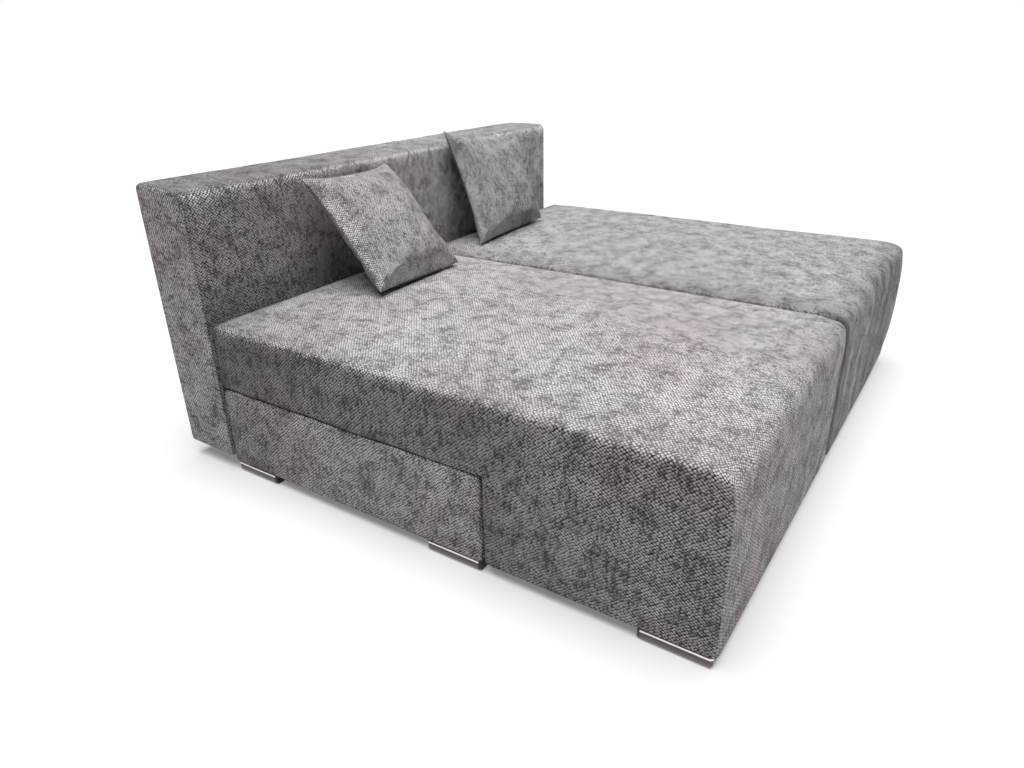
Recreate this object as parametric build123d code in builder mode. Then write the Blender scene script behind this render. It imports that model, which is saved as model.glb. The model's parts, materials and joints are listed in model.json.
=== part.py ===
"""Modular sofa bed, in millimetres.

Two long upholstered seats stand side by side in front of one backrest, with two loose
cushions on them. Each seat is an L-shaped pad on a timber frame. Its slab lies over a fixed
storage base and slides forward on that base's rails, and its deep front block stands on
feet of its own. The backrest is bolted to both bases.

+X runs along the backrest towards the right seat, -Y towards the seats' fronts and +Z up.
The origin is on the floor, under the middle of the whole.
"""

import os
from dataclasses import dataclass
from math import cos, radians, sin

from build123d import *

# Plan and heights of the whole
module_width = 948.0
module_gap = 4.0
seat_length = 1514.0
seat_edge_height = 474.0
slab_underside = 278.0
hem_height = 28.0
block_length = 584.0
backrest_length = 1830.0
backrest_depth = 203.0
backrest_height = 835.0
backrest_underside = 49.0
backrest_overhang = 8.0

# Running gaps between the seats and what they move past
rear_gap = 2.0
base_end_gap = 6.0
base_top_gap = 4.0
glide_gap = 0.3
seat_travel = 500.0

# Seat upholstery
fabric = 2.5
ease = 0.3
wadding = 12.0
seat_crown = 18.0
edge_roll = 26.0
seat_corner_radius = 20.0
crown_shares = ((0.2, 0.4), (0.5, 0.78), (0.85, 1.0))
roll_shares = ((0.0, 0.0), (0.12, 0.475), (0.42, 0.815))
corner_growth_share = 0.3

# Seat timber
seat_rail_width = 45.0
seat_rail_height = 70.0
felt_thickness = 2.0
cross_rail_width = 45.0
block_board = 16.0
dust_cover_thickness = 0.8
dust_cover_lap = 5.0

# Zigzag springs, in two rows across each seat
spring_wire = 3.6
spring_count = 7
spring_pitch = 38.0
spring_half_width = 24.0
spring_end_lap = 12.0
spring_bend_share = 0.45

# Storage base
base_pad = 14.0
pad_corner_radius = 24.0
pad_edge_radius = 6.0
panel = 18.0
side_panel_top = 256.0
front_panel_top = 236.0
floor_board = 5.0
batten_height = 18.0
batten_width = 40.0

# Rails, skids, glides and stops
rail_width = 24.0
rail_height = 22.0
skid_width = 20.0
skid_height = 38.0
skid_side_gap = 2.0
glide_thickness = 1.7
glide_length = 40.0
stop_width = 10.0
stop_length = 30.0
stop_drop = 18.0
stop_gap = 0.5
stop_side_gap = 1.0
skid_rear_inset = 28.0

# Feet: a half-round chromed shell over a plastic core
foot_width = 42.0
foot_length = 162.0
foot_wall = 1.5
foot_outer_radius = 9.0
foot_inner_radius = 20.0
foot_core_reach = 6.0
foot_end_wall = 8.0
foot_end_bevel = 5.0
foot_end_inset = 9.0

# Backrest
backrest_foam = 45.6
backrest_wrap = 10.0
backrest_corner_radius = 14.0
backrest_top_radius = 12.0
backrest_board = 18.0
backrest_front_rail = 140.0
backrest_posts = 3
webbing_thickness = 1.6
webbing_width = 60.0
webbing_count = 12
webbing_lap = 14.0
rear_board = 3.2

# Bolts: M8 throughout
bolt_radius = 4.0
bolt_hole_radius = 4.3
bolt_head_flats = 13.0
bolt_head_height = 5.5
nut_height = 6.5
bolt_end_reach = 3.0
thread_gap = 0.05
backrest_bolt_inset = 150.0
backrest_bolt_heights = (100.0, 160.0)
module_bolt_height = 130.0
module_bolt_inset = 110.0
spacer_side = 60.0

# Loose cushions
cushion_side = 422.0
cushion_seam = 8.0
cushion_fabric = 1.6
cushion_rest_gap = 0.3
cushion_band_shares = (
    (0.0, 1.0, -0.045),
    (0.2, 0.93, -0.03),
    (0.45, 0.8, 0.01),
    (0.7, 0.62, 0.04),
    (0.9, 0.38, 0.05),
    (1.0, 0.16, 0.03),
)
zip_length = 250.0
zip_width = 5.0
zip_depth = 3.0
zip_proud = 1.0
settle_start = 40.0
settle_steps = 6

overrun = 5.0

# Derived planes
total_width = backrest_overhang + 2 * module_width + module_gap
total_depth = seat_length + backrest_depth
left_side_x = -total_width / 2 + backrest_overhang
wall_y = total_depth / 2 - backrest_depth
block_rear = seat_length - block_length
base_front = block_rear - base_end_gap
base_rear = rear_gap * 2
box_front = base_front - pad_edge_radius
box_inner_rear = base_rear + panel
box_inner_front = box_front - panel
pad_top = slab_underside - base_top_gap
frame_inset = fabric + ease + wadding
frame_top = slab_underside + seat_rail_height
felt_base = frame_top + spring_wire
foam_base = felt_base + felt_thickness
panel_inner = base_pad + panel
rail_base = front_panel_top + glide_thickness + glide_gap - rail_height
skid_base = slab_underside - skid_height
skid_near = panel_inner + skid_side_gap
floor_base = hem_height + batten_height
floor_top = floor_base + floor_board
rear_foot_rear = base_rear + foot_end_inset
middle_foot_rear = base_front - foot_end_inset - foot_length
front_foot_rear = seat_length - foot_end_inset - foot_length
frame_depth = fabric + ease + backrest_foam + webbing_thickness
backrest_grip = panel + base_rear + frame_depth + backrest_board
module_grip = 2 * (base_pad + panel) + module_gap


@dataclass(frozen=True)
class Side:
    """One seat module: its name, its outer side and the way from there to the middle."""

    name: str
    outer_x: float
    inward: int

    def across(self, near: float, far: float) -> tuple[float, float]:
        """Span in X between two distances in from the module's outer side."""
        ends = (self.outer_x + self.inward * near, self.outer_x + self.inward * far)
        return min(ends), max(ends)

    def both(self, near: float, far: float) -> tuple[tuple[float, float], tuple[float, float]]:
        """The same span at the outer side and mirrored to the inner side."""
        return self.across(near, far), self.across(module_width - far, module_width - near)

    def middle(self) -> float:
        """X of the module's centre line."""
        return self.outer_x + self.inward * module_width / 2


@dataclass(frozen=True)
class Cushion:
    """A loose cushion: its place on a seat, its lean and its four corners."""

    from_outer_side: float
    from_wall: float
    height: float
    yaw: float
    lean: float
    thickness: float
    corner_shares: tuple[tuple[float, float], ...]


sides = (
    Side("left", left_side_x, 1),
    Side("right", left_side_x + 2 * module_width + module_gap, -1),
)

cushions = {
    "left": Cushion(
        from_outer_side=569.0,
        from_wall=190.0,
        height=690.0,
        yaw=7.0,
        lean=41.9,
        thickness=150.0,
        corner_shares=((-0.456, 0.518), (0.515, 0.473), (0.482, -0.529), (-0.541, -0.464)),
    ),
    "right": Cushion(
        from_outer_side=615.0,
        from_wall=135.0,
        height=700.0,
        yaw=-2.0,
        lean=25.0,
        thickness=130.0,
        corner_shares=((-0.472, 0.537), (0.554, 0.402), (0.46, -0.446), (-0.542, -0.494)),
    ),
}


def forward(near: float, far: float) -> tuple[float, float]:
    """Span in Y between two distances forward from the backrest's face."""
    return wall_y - far, wall_y - near


def board(x_span, y_span, z_span, mode: Mode = Mode.ADD) -> None:
    """Add or cut one upright board with the given spans."""
    with Locations((x_span[0], y_span[0], z_span[0])):
        Box(
            x_span[1] - x_span[0],
            y_span[1] - y_span[0],
            z_span[1] - z_span[0],
            align=(Align.MIN, Align.MIN, Align.MIN),
            mode=mode,
        )


def save(piece: BuildPart, name: str) -> None:
    """Label a finished piece and write its file."""
    piece.part.label = name
    export_step(piece.part, f"parts/{name}.step")


def seat_form(side: Side, inset: float) -> Part:
    """The seat's L-shaped form with its crown, drawn in by inset from its outer faces."""
    x_span = side.across(inset, module_width - inset)
    y_span = forward(rear_gap + inset, seat_length - inset)
    width = x_span[1] - x_span[0]
    length = y_span[1] - y_span[0]
    centre = (side.middle(), (y_span[0] + y_span[1]) / 2)
    corner = seat_corner_radius - inset
    roll = edge_roll - inset
    edge_top = seat_edge_height - inset
    shoulder = edge_top - roll
    half = width / 2
    levels = [(shoulder + roll * rise, roll * share) for share, rise in roll_shares]
    levels.append((edge_top, roll))
    levels += [(edge_top + seat_crown * rise, roll + (half - roll) * share)
               for share, rise in crown_shares]
    rings = []
    for height, draw in levels:
        growth = corner_growth_share * draw * (1 - draw / half)
        with BuildSketch(Plane.XY.offset(height)) as ring:
            with Locations(centre):
                RectangleRounded(width - 2 * draw, length - 2 * draw, corner + growth)
        rings.append(ring.sketch)
    block_y = forward(block_rear + inset, seat_length - inset)
    with BuildPart() as form:
        with BuildSketch(Plane.XY.offset(slab_underside)):
            with Locations(centre):
                RectangleRounded(width, length, corner)
        extrude(amount=shoulder - slab_underside)
        loft(rings, ruled=True)
        with BuildSketch(Plane.XY.offset(hem_height)):
            with Locations((side.middle(), (block_y[0] + block_y[1]) / 2)):
                RectangleRounded(width, block_y[1] - block_y[0], corner)
        extrude(amount=shoulder - hem_height)
    return form.part


def make_seat_cover(side: Side, outer: Part) -> None:
    """Fabric skin over slab and block, open below where it is stapled to the frame."""
    inner = seat_form(side, fabric)
    with BuildPart() as cover:
        add(outer)
        add(inner, mode=Mode.SUBTRACT)
    save(cover, f"{side.name}_seat_cover")


def make_seat_foam(side: Side) -> None:
    """Crowned foam slab above the springs."""
    form = seat_form(side, fabric + ease)
    with BuildPart() as foam:
        add(form)
        split(bisect_by=Plane.XY.offset(foam_base), keep=Keep.TOP)
    save(foam, f"{side.name}_seat_foam")


def make_seat_wadding(side: Side) -> None:
    """Wadding bands round the slab's frame and round the front block."""
    skin = fabric + ease
    x_span = side.across(skin, module_width - skin)
    x_core = side.across(frame_inset, module_width - frame_inset)
    corner = seat_corner_radius - skin
    bands = (
        ("slab_wadding", rear_gap, slab_underside, foam_base),
        ("block_wadding", block_rear, hem_height, slab_underside),
    )
    for name, rear, base, top in bands:
        y_span = forward(rear + skin, seat_length - skin)
        y_core = forward(rear + frame_inset, seat_length - frame_inset)
        with BuildPart() as band:
            with BuildSketch(Plane.XY.offset(base)):
                with Locations((side.middle(), (y_span[0] + y_span[1]) / 2)):
                    RectangleRounded(x_span[1] - x_span[0], y_span[1] - y_span[0], corner)
                with Locations((side.middle(), (y_core[0] + y_core[1]) / 2)):
                    Rectangle(
                        x_core[1] - x_core[0], y_core[1] - y_core[0], mode=Mode.SUBTRACT
                    )
            extrude(amount=top - base)
        save(band, f"{side.name}_{name}")


def make_seat_frame(side: Side) -> None:
    """Glued timber frame of the slab: four rails, a long middle rail and cross rails."""
    x_span = side.across(frame_inset, module_width - frame_inset)
    rear = rear_gap + frame_inset
    front = seat_length - frame_inset
    cross_places = (block_rear + frame_inset, rear + (block_rear - rear) / 2)
    with BuildPart() as frame:
        board(x_span, forward(rear, front), (slab_underside, frame_top))
        board(
            side.across(frame_inset + seat_rail_width, module_width - frame_inset - seat_rail_width),
            forward(rear + seat_rail_width, front - seat_rail_width),
            (slab_underside - overrun, frame_top + overrun),
            Mode.SUBTRACT,
        )
        board(
            (side.middle() - cross_rail_width / 2, side.middle() + cross_rail_width / 2),
            forward(rear, front),
            (slab_underside, frame_top),
        )
        for place in cross_places:
            board(x_span, forward(place, place + cross_rail_width),
                  (slab_underside, frame_top - spring_wire))
    save(frame, f"{side.name}_seat_frame")


def make_seat_springs(side: Side) -> None:
    """Zigzag springs from the side rails to the middle rail, and the felt that covers them."""
    rear = rear_gap + frame_inset + seat_rail_width
    front = seat_length - frame_inset - seat_rail_width
    spacing = (front - rear) / spring_count
    reach = frame_inset + seat_rail_width - spring_end_lap
    middle_reach = module_width / 2 - cross_rail_width / 2 + spring_end_lap
    waves = round((middle_reach - reach) / spring_pitch)
    pitch = (middle_reach - reach) / waves
    spans = side.both(reach, middle_reach)
    with BuildPart() as springs:
        for x_span in spans:
            for index in range(spring_count):
                centre_y = wall_y - rear - spacing * (index + 0.5)
                points = []
                for wave in range(waves + 1):
                    swing = spring_half_width * (1 if wave % 2 else -1)
                    x = x_span[0] + pitch * wave
                    if wave:
                        points.append((x, centre_y - swing))
                    if wave < waves:
                        points.append((x, centre_y + swing))
                with BuildSketch(Plane.XY.offset(frame_top)) as zigzag:
                    with BuildLine() as wire:
                        FilletPolyline(*points, radius=pitch * spring_bend_share)
                    trace(wire.line, spring_wire)
                extrude(zigzag.sketch, amount=spring_wire)
    save(springs, f"{side.name}_seat_springs")
    with BuildPart() as felt:
        board(
            side.across(frame_inset, module_width - frame_inset),
            forward(rear_gap + frame_inset, seat_length - frame_inset),
            (felt_base, foam_base),
        )
    save(felt, f"{side.name}_seat_felt")


def make_front_block(side: Side) -> None:
    """Board box of the front block: four walls and a floor with its own stiffener."""
    x_span = side.across(frame_inset, module_width - frame_inset)
    y_span = forward(block_rear + frame_inset, seat_length - frame_inset)
    with BuildPart() as box:
        board(x_span, y_span, (hem_height, slab_underside))
        board(
            (x_span[0] + block_board, x_span[1] - block_board),
            (y_span[0] + block_board, y_span[1] - block_board),
            (hem_height + block_board, slab_underside + overrun),
            Mode.SUBTRACT,
        )
        board(
            (side.middle() - block_board / 2, side.middle() + block_board / 2),
            y_span,
            (hem_height, slab_underside),
        )
    save(box, f"{side.name}_block_box")


def make_dust_cover(side: Side) -> None:
    """Thin cloth stapled under the slab's frame, between the skids."""
    near = skid_near + skid_width + stop_side_gap
    with BuildPart() as cloth:
        board(
            side.across(near, module_width - near),
            forward(rear_gap + frame_inset, block_rear - dust_cover_lap),
            (slab_underside - dust_cover_thickness, slab_underside),
        )
    save(cloth, f"{side.name}_dust_cover")


def make_skids(side: Side) -> None:
    """Beech skids under the slab, their glides and the cleats that stop the seat."""
    spans = side.both(skid_near, skid_near + skid_width)
    cleats = side.both(skid_near + skid_width, skid_near + skid_width + stop_width)
    rear = rear_gap + skid_rear_inset
    with BuildPart() as skids:
        for x_span in spans:
            board(x_span, forward(rear, block_rear), (skid_base, slab_underside))
    save(skids, f"{side.name}_seat_skids")
    with BuildPart() as glides:
        for x_span in spans:
            board(x_span, forward(rear, rear + glide_length), (skid_base - glide_thickness, skid_base))
    save(glides, f"{side.name}_seat_glides")
    with BuildPart() as stops:
        for x_span in cleats:
            board(
                x_span,
                forward(rear, rear + stop_length),
                (skid_base, skid_base + stop_drop),
            )
    save(stops, f"{side.name}_seat_stops")


def make_base(side: Side) -> None:
    """Storage base: padded outer side, box panels and floor."""
    with BuildPart() as pad:
        x_span = side.across(0.0, base_pad)
        y_span = forward(rear_gap, base_front)
        outer_face = Plane(
            origin=(side.outer_x, (y_span[0] + y_span[1]) / 2, (hem_height + pad_top) / 2),
            x_dir=(0, 1, 0),
            z_dir=(-side.inward, 0, 0),
        )
        with BuildSketch(outer_face):
            Rectangle(y_span[1] - y_span[0], pad_top - hem_height)
        extrude(amount=-base_pad)
        fillet(pad.edges().filter_by(Axis.X).group_by(Axis.Z)[-1], radius=pad_corner_radius)
        fillet(
            pad.faces().sort_by(Axis.X)[0 if side.inward > 0 else -1].edges(),
            radius=pad_edge_radius,
        )
    save(pad, f"{side.name}_base_pad")

    with BuildPart() as side_panels:
        for x_span in side.both(base_pad, panel_inner):
            board(x_span, forward(base_rear, box_front), (hem_height, side_panel_top))
        drill(module_bolt_planes(), module_grip + overrun)
    save(side_panels, f"{side.name}_base_side_panels")

    inside = side.across(panel_inner, module_width - panel_inner)
    with BuildPart() as rear_panel:
        board(inside, forward(base_rear, base_rear + panel), (hem_height, side_panel_top))
        drill(backrest_bolt_planes(side), panel + overrun)
    save(rear_panel, f"{side.name}_base_rear_panel")

    with BuildPart() as front_panel:
        board(inside, forward(box_front - panel, box_front), (hem_height, front_panel_top))
    save(front_panel, f"{side.name}_base_front_panel")

    with BuildPart() as floor:
        board(inside, forward(box_inner_rear, box_inner_front), (floor_base, floor_top))
    save(floor, f"{side.name}_base_floor")


def make_rails() -> None:
    """Floor battens, guide rails, their front glides and the seat stops of both bases."""
    middle = (box_inner_rear + box_inner_front) / 2
    batten_places = (box_inner_rear, middle - batten_width / 2, box_inner_front - batten_width)
    with BuildPart() as battens:
        for side in sides:
            inside = side.across(panel_inner, module_width - panel_inner)
            for near in batten_places:
                board(inside, forward(near, near + batten_width), (hem_height, floor_base))
    save(battens, "floor_battens")

    rail_top = rail_base + rail_height
    rail_y = forward(box_inner_rear, box_inner_front)
    with BuildPart() as rails:
        for side in sides:
            for x_span in side.both(panel_inner, panel_inner + rail_width):
                board(x_span, rail_y, (rail_base, rail_top))
    save(rails, "guide_rails")

    glide_y = forward(box_inner_front - glide_length, box_inner_front)
    with BuildPart() as glides:
        for side in sides:
            for x_span in side.both(skid_near, skid_near + skid_width):
                board(x_span, glide_y, (rail_top, skid_base - glide_gap))
    save(glides, "rail_glides")

    stop_place = rear_gap + skid_rear_inset + stop_length + seat_travel + stop_gap
    stop_near = panel_inner + rail_width
    stop_y = forward(stop_place, stop_place + stop_length)
    with BuildPart() as stops:
        for side in sides:
            for x_span in side.both(stop_near, stop_near + stop_width):
                board(x_span, stop_y, (rail_top - stop_drop, skid_base + stop_drop))
    save(stops, "rail_stops")


def add_foot_section(edge_x: float, inward: int, start_y: float, length: float, inset: float) -> None:
    """Add one length of the foot's section: upright outside, flat below, round inside."""
    face = Plane(
        origin=(edge_x + inward * inset, start_y, inset),
        x_dir=(inward, 0, 0),
        z_dir=(0, -inward, 0),
    )
    with BuildSketch(face) as section:
        Rectangle(foot_width - 2 * inset, hem_height - inset, align=(Align.MIN, Align.MIN))
        toe = section.vertices().group_by(Axis.Y)[0].sort_by(Axis.X)[0]
        fillet(toe, radius=foot_outer_radius - inset)
        heel = section.vertices().group_by(Axis.Y)[0].sort_by(Axis.X)[-1]
        fillet(heel, radius=foot_inner_radius - inset)
    extrude(section.sketch, amount=-inward * length)


def make_feet(modules, name: str, rears: tuple[float, ...], closed_in_front: bool) -> None:
    """Chromed shells, closed at one end, and the plastic cores that stand out at the other."""
    edges = [(side.outer_x, side.inward) for side in modules]
    edges += [(side.outer_x + side.inward * module_width, -side.inward) for side in modules]
    bore = foot_length - foot_end_wall
    with BuildPart() as shells:
        for edge, inward in edges:
            for rear in rears:
                add_foot_section(edge, inward, wall_y - rear - foot_length, foot_length, 0.0)
    closed_ends = [wall_y - rear - (foot_length if closed_in_front else 0.0) for rear in rears]
    outer_edges = [edge for edge, inward in edges]
    with BuildPart() as cores:
        for edge, inward in edges:
            for rear in rears:
                front_y = wall_y - rear - foot_length
                start = front_y + foot_end_wall if closed_in_front else front_y - foot_core_reach
                add_foot_section(edge, inward, start, bore + foot_core_reach, foot_wall)
    with BuildPart() as finished:
        add(shells.part)
        corners = finished.edges().filter_by(Axis.Z).filter_by(
            lambda line: any(abs(line.center().Y - end) < foot_wall for end in closed_ends)
            and any(abs(line.center().X - edge) < foot_wall for edge in outer_edges)
        )
        chamfer(corners, length=foot_end_bevel)
        add(cores.part, mode=Mode.SUBTRACT)
    save(finished, f"{name}_feet")
    save(cores, f"{name}_foot_cores")


def backrest_bolt_planes(side: Side) -> list[Plane]:
    """Seats of one base's backrest bolts, on the rear panel's inner face, facing rearward."""
    spots = [x_span[0] for x_span in side.both(backrest_bolt_inset, backrest_bolt_inset)]
    return [
        Plane((x, wall_y - base_rear - panel, height), x_dir=(1, 0, 0), z_dir=(0, 1, 0))
        for x in spots
        for height in backrest_bolt_heights
    ]


def module_bolt_planes() -> list[Plane]:
    """Seats of the bolts that join the two bases, on the left base's inner panel."""
    left = sides[0]
    places = (base_rear + module_bolt_inset, base_front - module_bolt_inset)
    return [
        Plane(
            (left.outer_x + module_width - panel_inner, wall_y - place, module_bolt_height),
            x_dir=(0, 1, 0),
            z_dir=(1, 0, 0),
        )
        for place in places
    ]


def drill(seats: list[Plane], depth: float) -> None:
    """Drill a bolt hole along each plane's normal, from behind the plane to the depth."""
    for seat in seats:
        with Locations(Plane(seat.origin + seat.z_dir * depth, z_dir=seat.z_dir)):
            Hole(bolt_hole_radius, depth=depth + panel)


def save_bolts(seats: list[Plane], grip: float, name: str) -> None:
    """Write hex bolts whose heads sit on the planes, long enough for their grip and nut."""
    with BuildPart() as bolts:
        for seat in seats:
            with BuildSketch(seat) as head:
                RegularPolygon(bolt_head_flats / 2, side_count=6, major_radius=False)
            extrude(head.sketch, amount=-bolt_head_height)
            with BuildSketch(seat) as shank:
                Circle(bolt_radius)
            extrude(shank.sketch, amount=grip + nut_height + bolt_end_reach)
    save(bolts, name)


def make_nuts() -> None:
    """The nuts at the far end of every bolt."""
    ends = [seat.offset(backrest_grip) for side in sides for seat in backrest_bolt_planes(side)]
    ends += [seat.offset(module_grip) for seat in module_bolt_planes()]
    with BuildPart() as nuts:
        for end in ends:
            with BuildSketch(end) as ring:
                RegularPolygon(bolt_head_flats / 2, side_count=6, major_radius=False)
                Circle(bolt_radius + thread_gap, mode=Mode.SUBTRACT)
            extrude(ring.sketch, amount=nut_height)
    save(nuts, "bolt_nuts")


def make_module_joint() -> None:
    """Spacers and bolts between the two bases."""
    left, right = sides
    x_span = (left.outer_x + module_width - base_pad, right.outer_x - module_width + base_pad)
    seats = module_bolt_planes()
    with BuildPart() as spacers:
        for seat in seats:
            y, z = seat.origin.Y, seat.origin.Z
            board(
                x_span,
                (y - spacer_side / 2, y + spacer_side / 2),
                (z - spacer_side / 2, z + spacer_side / 2),
            )
        drill(seats, module_grip)
    save(spacers, "module_spacers")
    save_bolts(seats, module_grip, "module_bolts")


def backrest_form(inset: float) -> Part:
    """The backrest's outer form, drawn in by inset on every side but its underside."""
    centre = (left_side_x - backrest_overhang + backrest_length / 2, wall_y + backrest_depth / 2)
    with BuildPart() as form:
        with BuildSketch(Plane.XY.offset(backrest_underside)):
            with Locations(centre):
                RectangleRounded(
                    backrest_length - 2 * inset,
                    backrest_depth - 2 * inset,
                    backrest_corner_radius - inset,
                )
        extrude(amount=backrest_height - inset - backrest_underside)
        fillet(form.faces().sort_by(Axis.Z)[-1].edges(), radius=backrest_top_radius - inset)
    return form.part


def make_backrest() -> Part:
    """Backrest: cover, foam, webbing, board frame, rear board and the bolts that carry it."""
    skin = fabric + ease
    seats = [seat for side in sides for seat in backrest_bolt_planes(side)]
    outer = backrest_form(0.0)
    inner = backrest_form(fabric)
    with BuildPart() as cover:
        add(outer)
        add(inner, mode=Mode.SUBTRACT)
        drill(seats, backrest_grip)
    save(cover, "backrest_cover")

    left_end = left_side_x - backrest_overhang + skin + backrest_wrap
    right_end = left_side_x - backrest_overhang + backrest_length - skin - backrest_wrap
    x_span = (left_end, right_end)
    webbing_y = wall_y + frame_depth - webbing_thickness
    front_y = wall_y + frame_depth
    rear_y = wall_y + backrest_depth - skin - rear_board
    top = backrest_height - skin - backrest_wrap
    padded = backrest_form(skin)
    with BuildPart() as foam:
        add(padded)
        board(
            x_span,
            (webbing_y, wall_y + backrest_depth + overrun),
            (backrest_underside - overrun, top),
            Mode.SUBTRACT,
        )
        drill(seats, backrest_grip)
    save(foam, "backrest_foam")

    rail_top = backrest_underside + backrest_front_rail
    spacing = (right_end - left_end) / (backrest_posts + 1)
    uprights = [left_end + spacing * index for index in range(backrest_posts + 2)]
    with BuildPart() as frame:
        board(x_span, (front_y, rear_y), (backrest_underside, backrest_underside + backrest_board))
        board(x_span, (front_y, rear_y), (top - backrest_board, top))
        board(x_span, (front_y, front_y + backrest_board), (backrest_underside, rail_top))
        for x in uprights:
            near = min(max(x - backrest_board / 2, left_end), right_end - backrest_board)
            board((near, near + backrest_board), (front_y, rear_y), (backrest_underside, top))
        drill(seats, backrest_grip)
    save(frame, "backrest_frame")

    pitch = (right_end - left_end) / webbing_count
    with BuildPart() as webbing:
        for index in range(webbing_count):
            middle = left_end + pitch * (index + 0.5)
            board(
                (middle - webbing_width / 2, middle + webbing_width / 2),
                (webbing_y, front_y),
                (rail_top - webbing_lap, top),
            )
    save(webbing, "backrest_webbing")

    with BuildPart() as back:
        board(x_span, (rear_y, rear_y + rear_board), (backrest_underside, top))
    save(back, "backrest_rear_board")

    save_bolts(seats, backrest_grip, "backrest_bolts")
    return outer


def cushion_plane(side: Side, cushion: Cushion, shift_y: float, shift_z: float) -> Plane:
    """The cushion's middle plane: X along its width, Y up its face, Z out of its front."""
    yaw, lean = radians(cushion.yaw), radians(cushion.lean)
    along = Vector(cos(yaw), sin(yaw), 0)
    back = Vector(-sin(yaw), cos(yaw), 0)
    up = back * sin(lean) + Vector(0, 0, cos(lean))
    centre = Vector(
        side.outer_x + side.inward * cushion.from_outer_side,
        wall_y - cushion.from_wall + shift_y,
        cushion.height + shift_z,
    )
    return Plane(centre, x_dir=along, z_dir=along.cross(up))


def cushion_form(plane: Plane, cushion: Cushion, seam: float, skin: float) -> Part:
    """A crowned cushion with drawn-in sides and pointed corners, inset by seam and skin."""
    half = cushion.thickness / 2 - skin
    size = cushion_side - 2 * seam
    levels = [(-rise, scale, bow) for rise, scale, bow in reversed(cushion_band_shares[1:])]
    levels += list(cushion_band_shares)
    rings = []
    for rise, scale, bow in levels:
        corners = [Vector(x, y) * size * scale for x, y in cushion.corner_shares]
        with BuildSketch(plane.offset(rise * half)) as ring:
            with BuildLine():
                for index, start in enumerate(corners):
                    end = corners[(index + 1) % len(corners)]
                    way = end - start
                    out = Vector(-way.Y, way.X) * bow
                    ThreePointArc(start, (start + end) * 0.5 + out, end)
            make_face()
        rings.append(ring.sketch)
    with BuildPart() as form:
        loft(rings, ruled=True)
    return form.part


def seam_band(plane: Plane, cushion: Cushion, near: float, far: float) -> Sketch:
    """Strip along the middle of the lower seam, between two distances in from the edge."""
    start, end = [Vector(x, y) * cushion_side for x, y in cushion.corner_shares[2:4]]
    way = end - start
    inward = Vector(way.Y, -way.X).normalized()
    middle = (start + end) * 0.5 - Vector(way.Y, -way.X) * cushion_band_shares[0][2]
    share = zip_length / way.length / 2
    with BuildSketch(plane) as band:
        with BuildLine():
            seam = ThreePointArc(start, middle, end, mode=Mode.PRIVATE)
            places = [seam @ at for at in (0.5 - share, 0.5, 0.5 + share)]
            outer = ThreePointArc(*[place + inward * near for place in places])
            inner = ThreePointArc(*[place + inward * far for place in places])
            Line(outer @ 0, inner @ 0)
            Line(outer @ 1, inner @ 1)
        make_face()
    return band.sketch


def settled_plane(side: Side, cushion: Cushion, seat: Part, backrest: Part) -> Plane:
    """The cushion's plane once it leans on the backrest and rests on its seat."""
    form = cushion_form(cushion_plane(side, cushion, 0.0, 0.0), cushion, 0.0, 0.0)
    shift_y, shift_z = -settle_start, settle_start
    for _ in range(settle_steps):
        moved = form.moved(Location((0, shift_y, shift_z)))
        shift_z -= moved.distance_to(seat) - cushion_rest_gap
        moved = form.moved(Location((0, shift_y, shift_z)))
        shift_y += moved.distance_to(backrest) - cushion_rest_gap
    return cushion_plane(side, cushion, shift_y, shift_z)


def make_cushion(side: Side, seat: Part, backrest: Part) -> None:
    """Loose cushion: cover, filling and the zip in its lower seam."""
    cushion = cushions[side.name]
    plane = settled_plane(side, cushion, seat, backrest)
    outer = cushion_form(plane, cushion, 0.0, 0.0)
    inner = cushion_form(plane, cushion, cushion_seam, cushion_fabric)
    filling_form = cushion_form(plane, cushion, cushion_seam + ease, cushion_fabric + ease)
    with BuildPart() as zipper:
        band = seam_band(plane, cushion, -zip_proud, zip_depth)
        extrude(band, amount=zip_width / 2, both=True)
    with BuildPart() as cover:
        add(outer)
        add(inner, mode=Mode.SUBTRACT)
        band = seam_band(plane, cushion, -cushion_seam, zip_depth)
        extrude(band, amount=zip_width / 2, both=True, mode=Mode.SUBTRACT)
    save(cover, f"{side.name}_cushion_cover")
    save(zipper, f"{side.name}_cushion_zip")
    with BuildPart() as filling:
        add(filling_form)
    save(filling, f"{side.name}_cushion_filling")


os.makedirs("parts", exist_ok=True)
backrest = make_backrest()
make_module_joint()
make_nuts()
make_rails()
make_feet(sides, "base", (rear_foot_rear, middle_foot_rear), closed_in_front=False)
for side in sides:
    seat = seat_form(side, 0.0)
    make_seat_cover(side, seat)
    make_seat_foam(side)
    make_seat_wadding(side)
    make_seat_frame(side)
    make_seat_springs(side)
    make_front_block(side)
    make_dust_cover(side)
    make_skids(side)
    make_base(side)
    make_feet([side], f"{side.name}_front", (front_foot_rear,), closed_in_front=True)
    make_cushion(side, seat, backrest)
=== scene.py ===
"""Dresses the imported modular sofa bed: upholstery, cushions, finishes, light and camera.

Everything is in metres and in the part's own frame: +X runs along the backrest towards the
right seat, -Y towards the seats' fronts and +Z up, with the origin on the floor under the
middle of the whole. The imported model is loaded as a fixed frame, hard pieces keep their own
meshes and get real finishes, and every soft piece is made here and stands for its solid.
"""

from __future__ import annotations

import json
import logging
import math
from collections.abc import Callable, Iterator, Sequence
from dataclasses import dataclass, field
from enum import Enum

import bmesh
import bpy
import numpy as np
from mathutils import Matrix, Vector, noise
from mathutils.bvhtree import BVHTree

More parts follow.
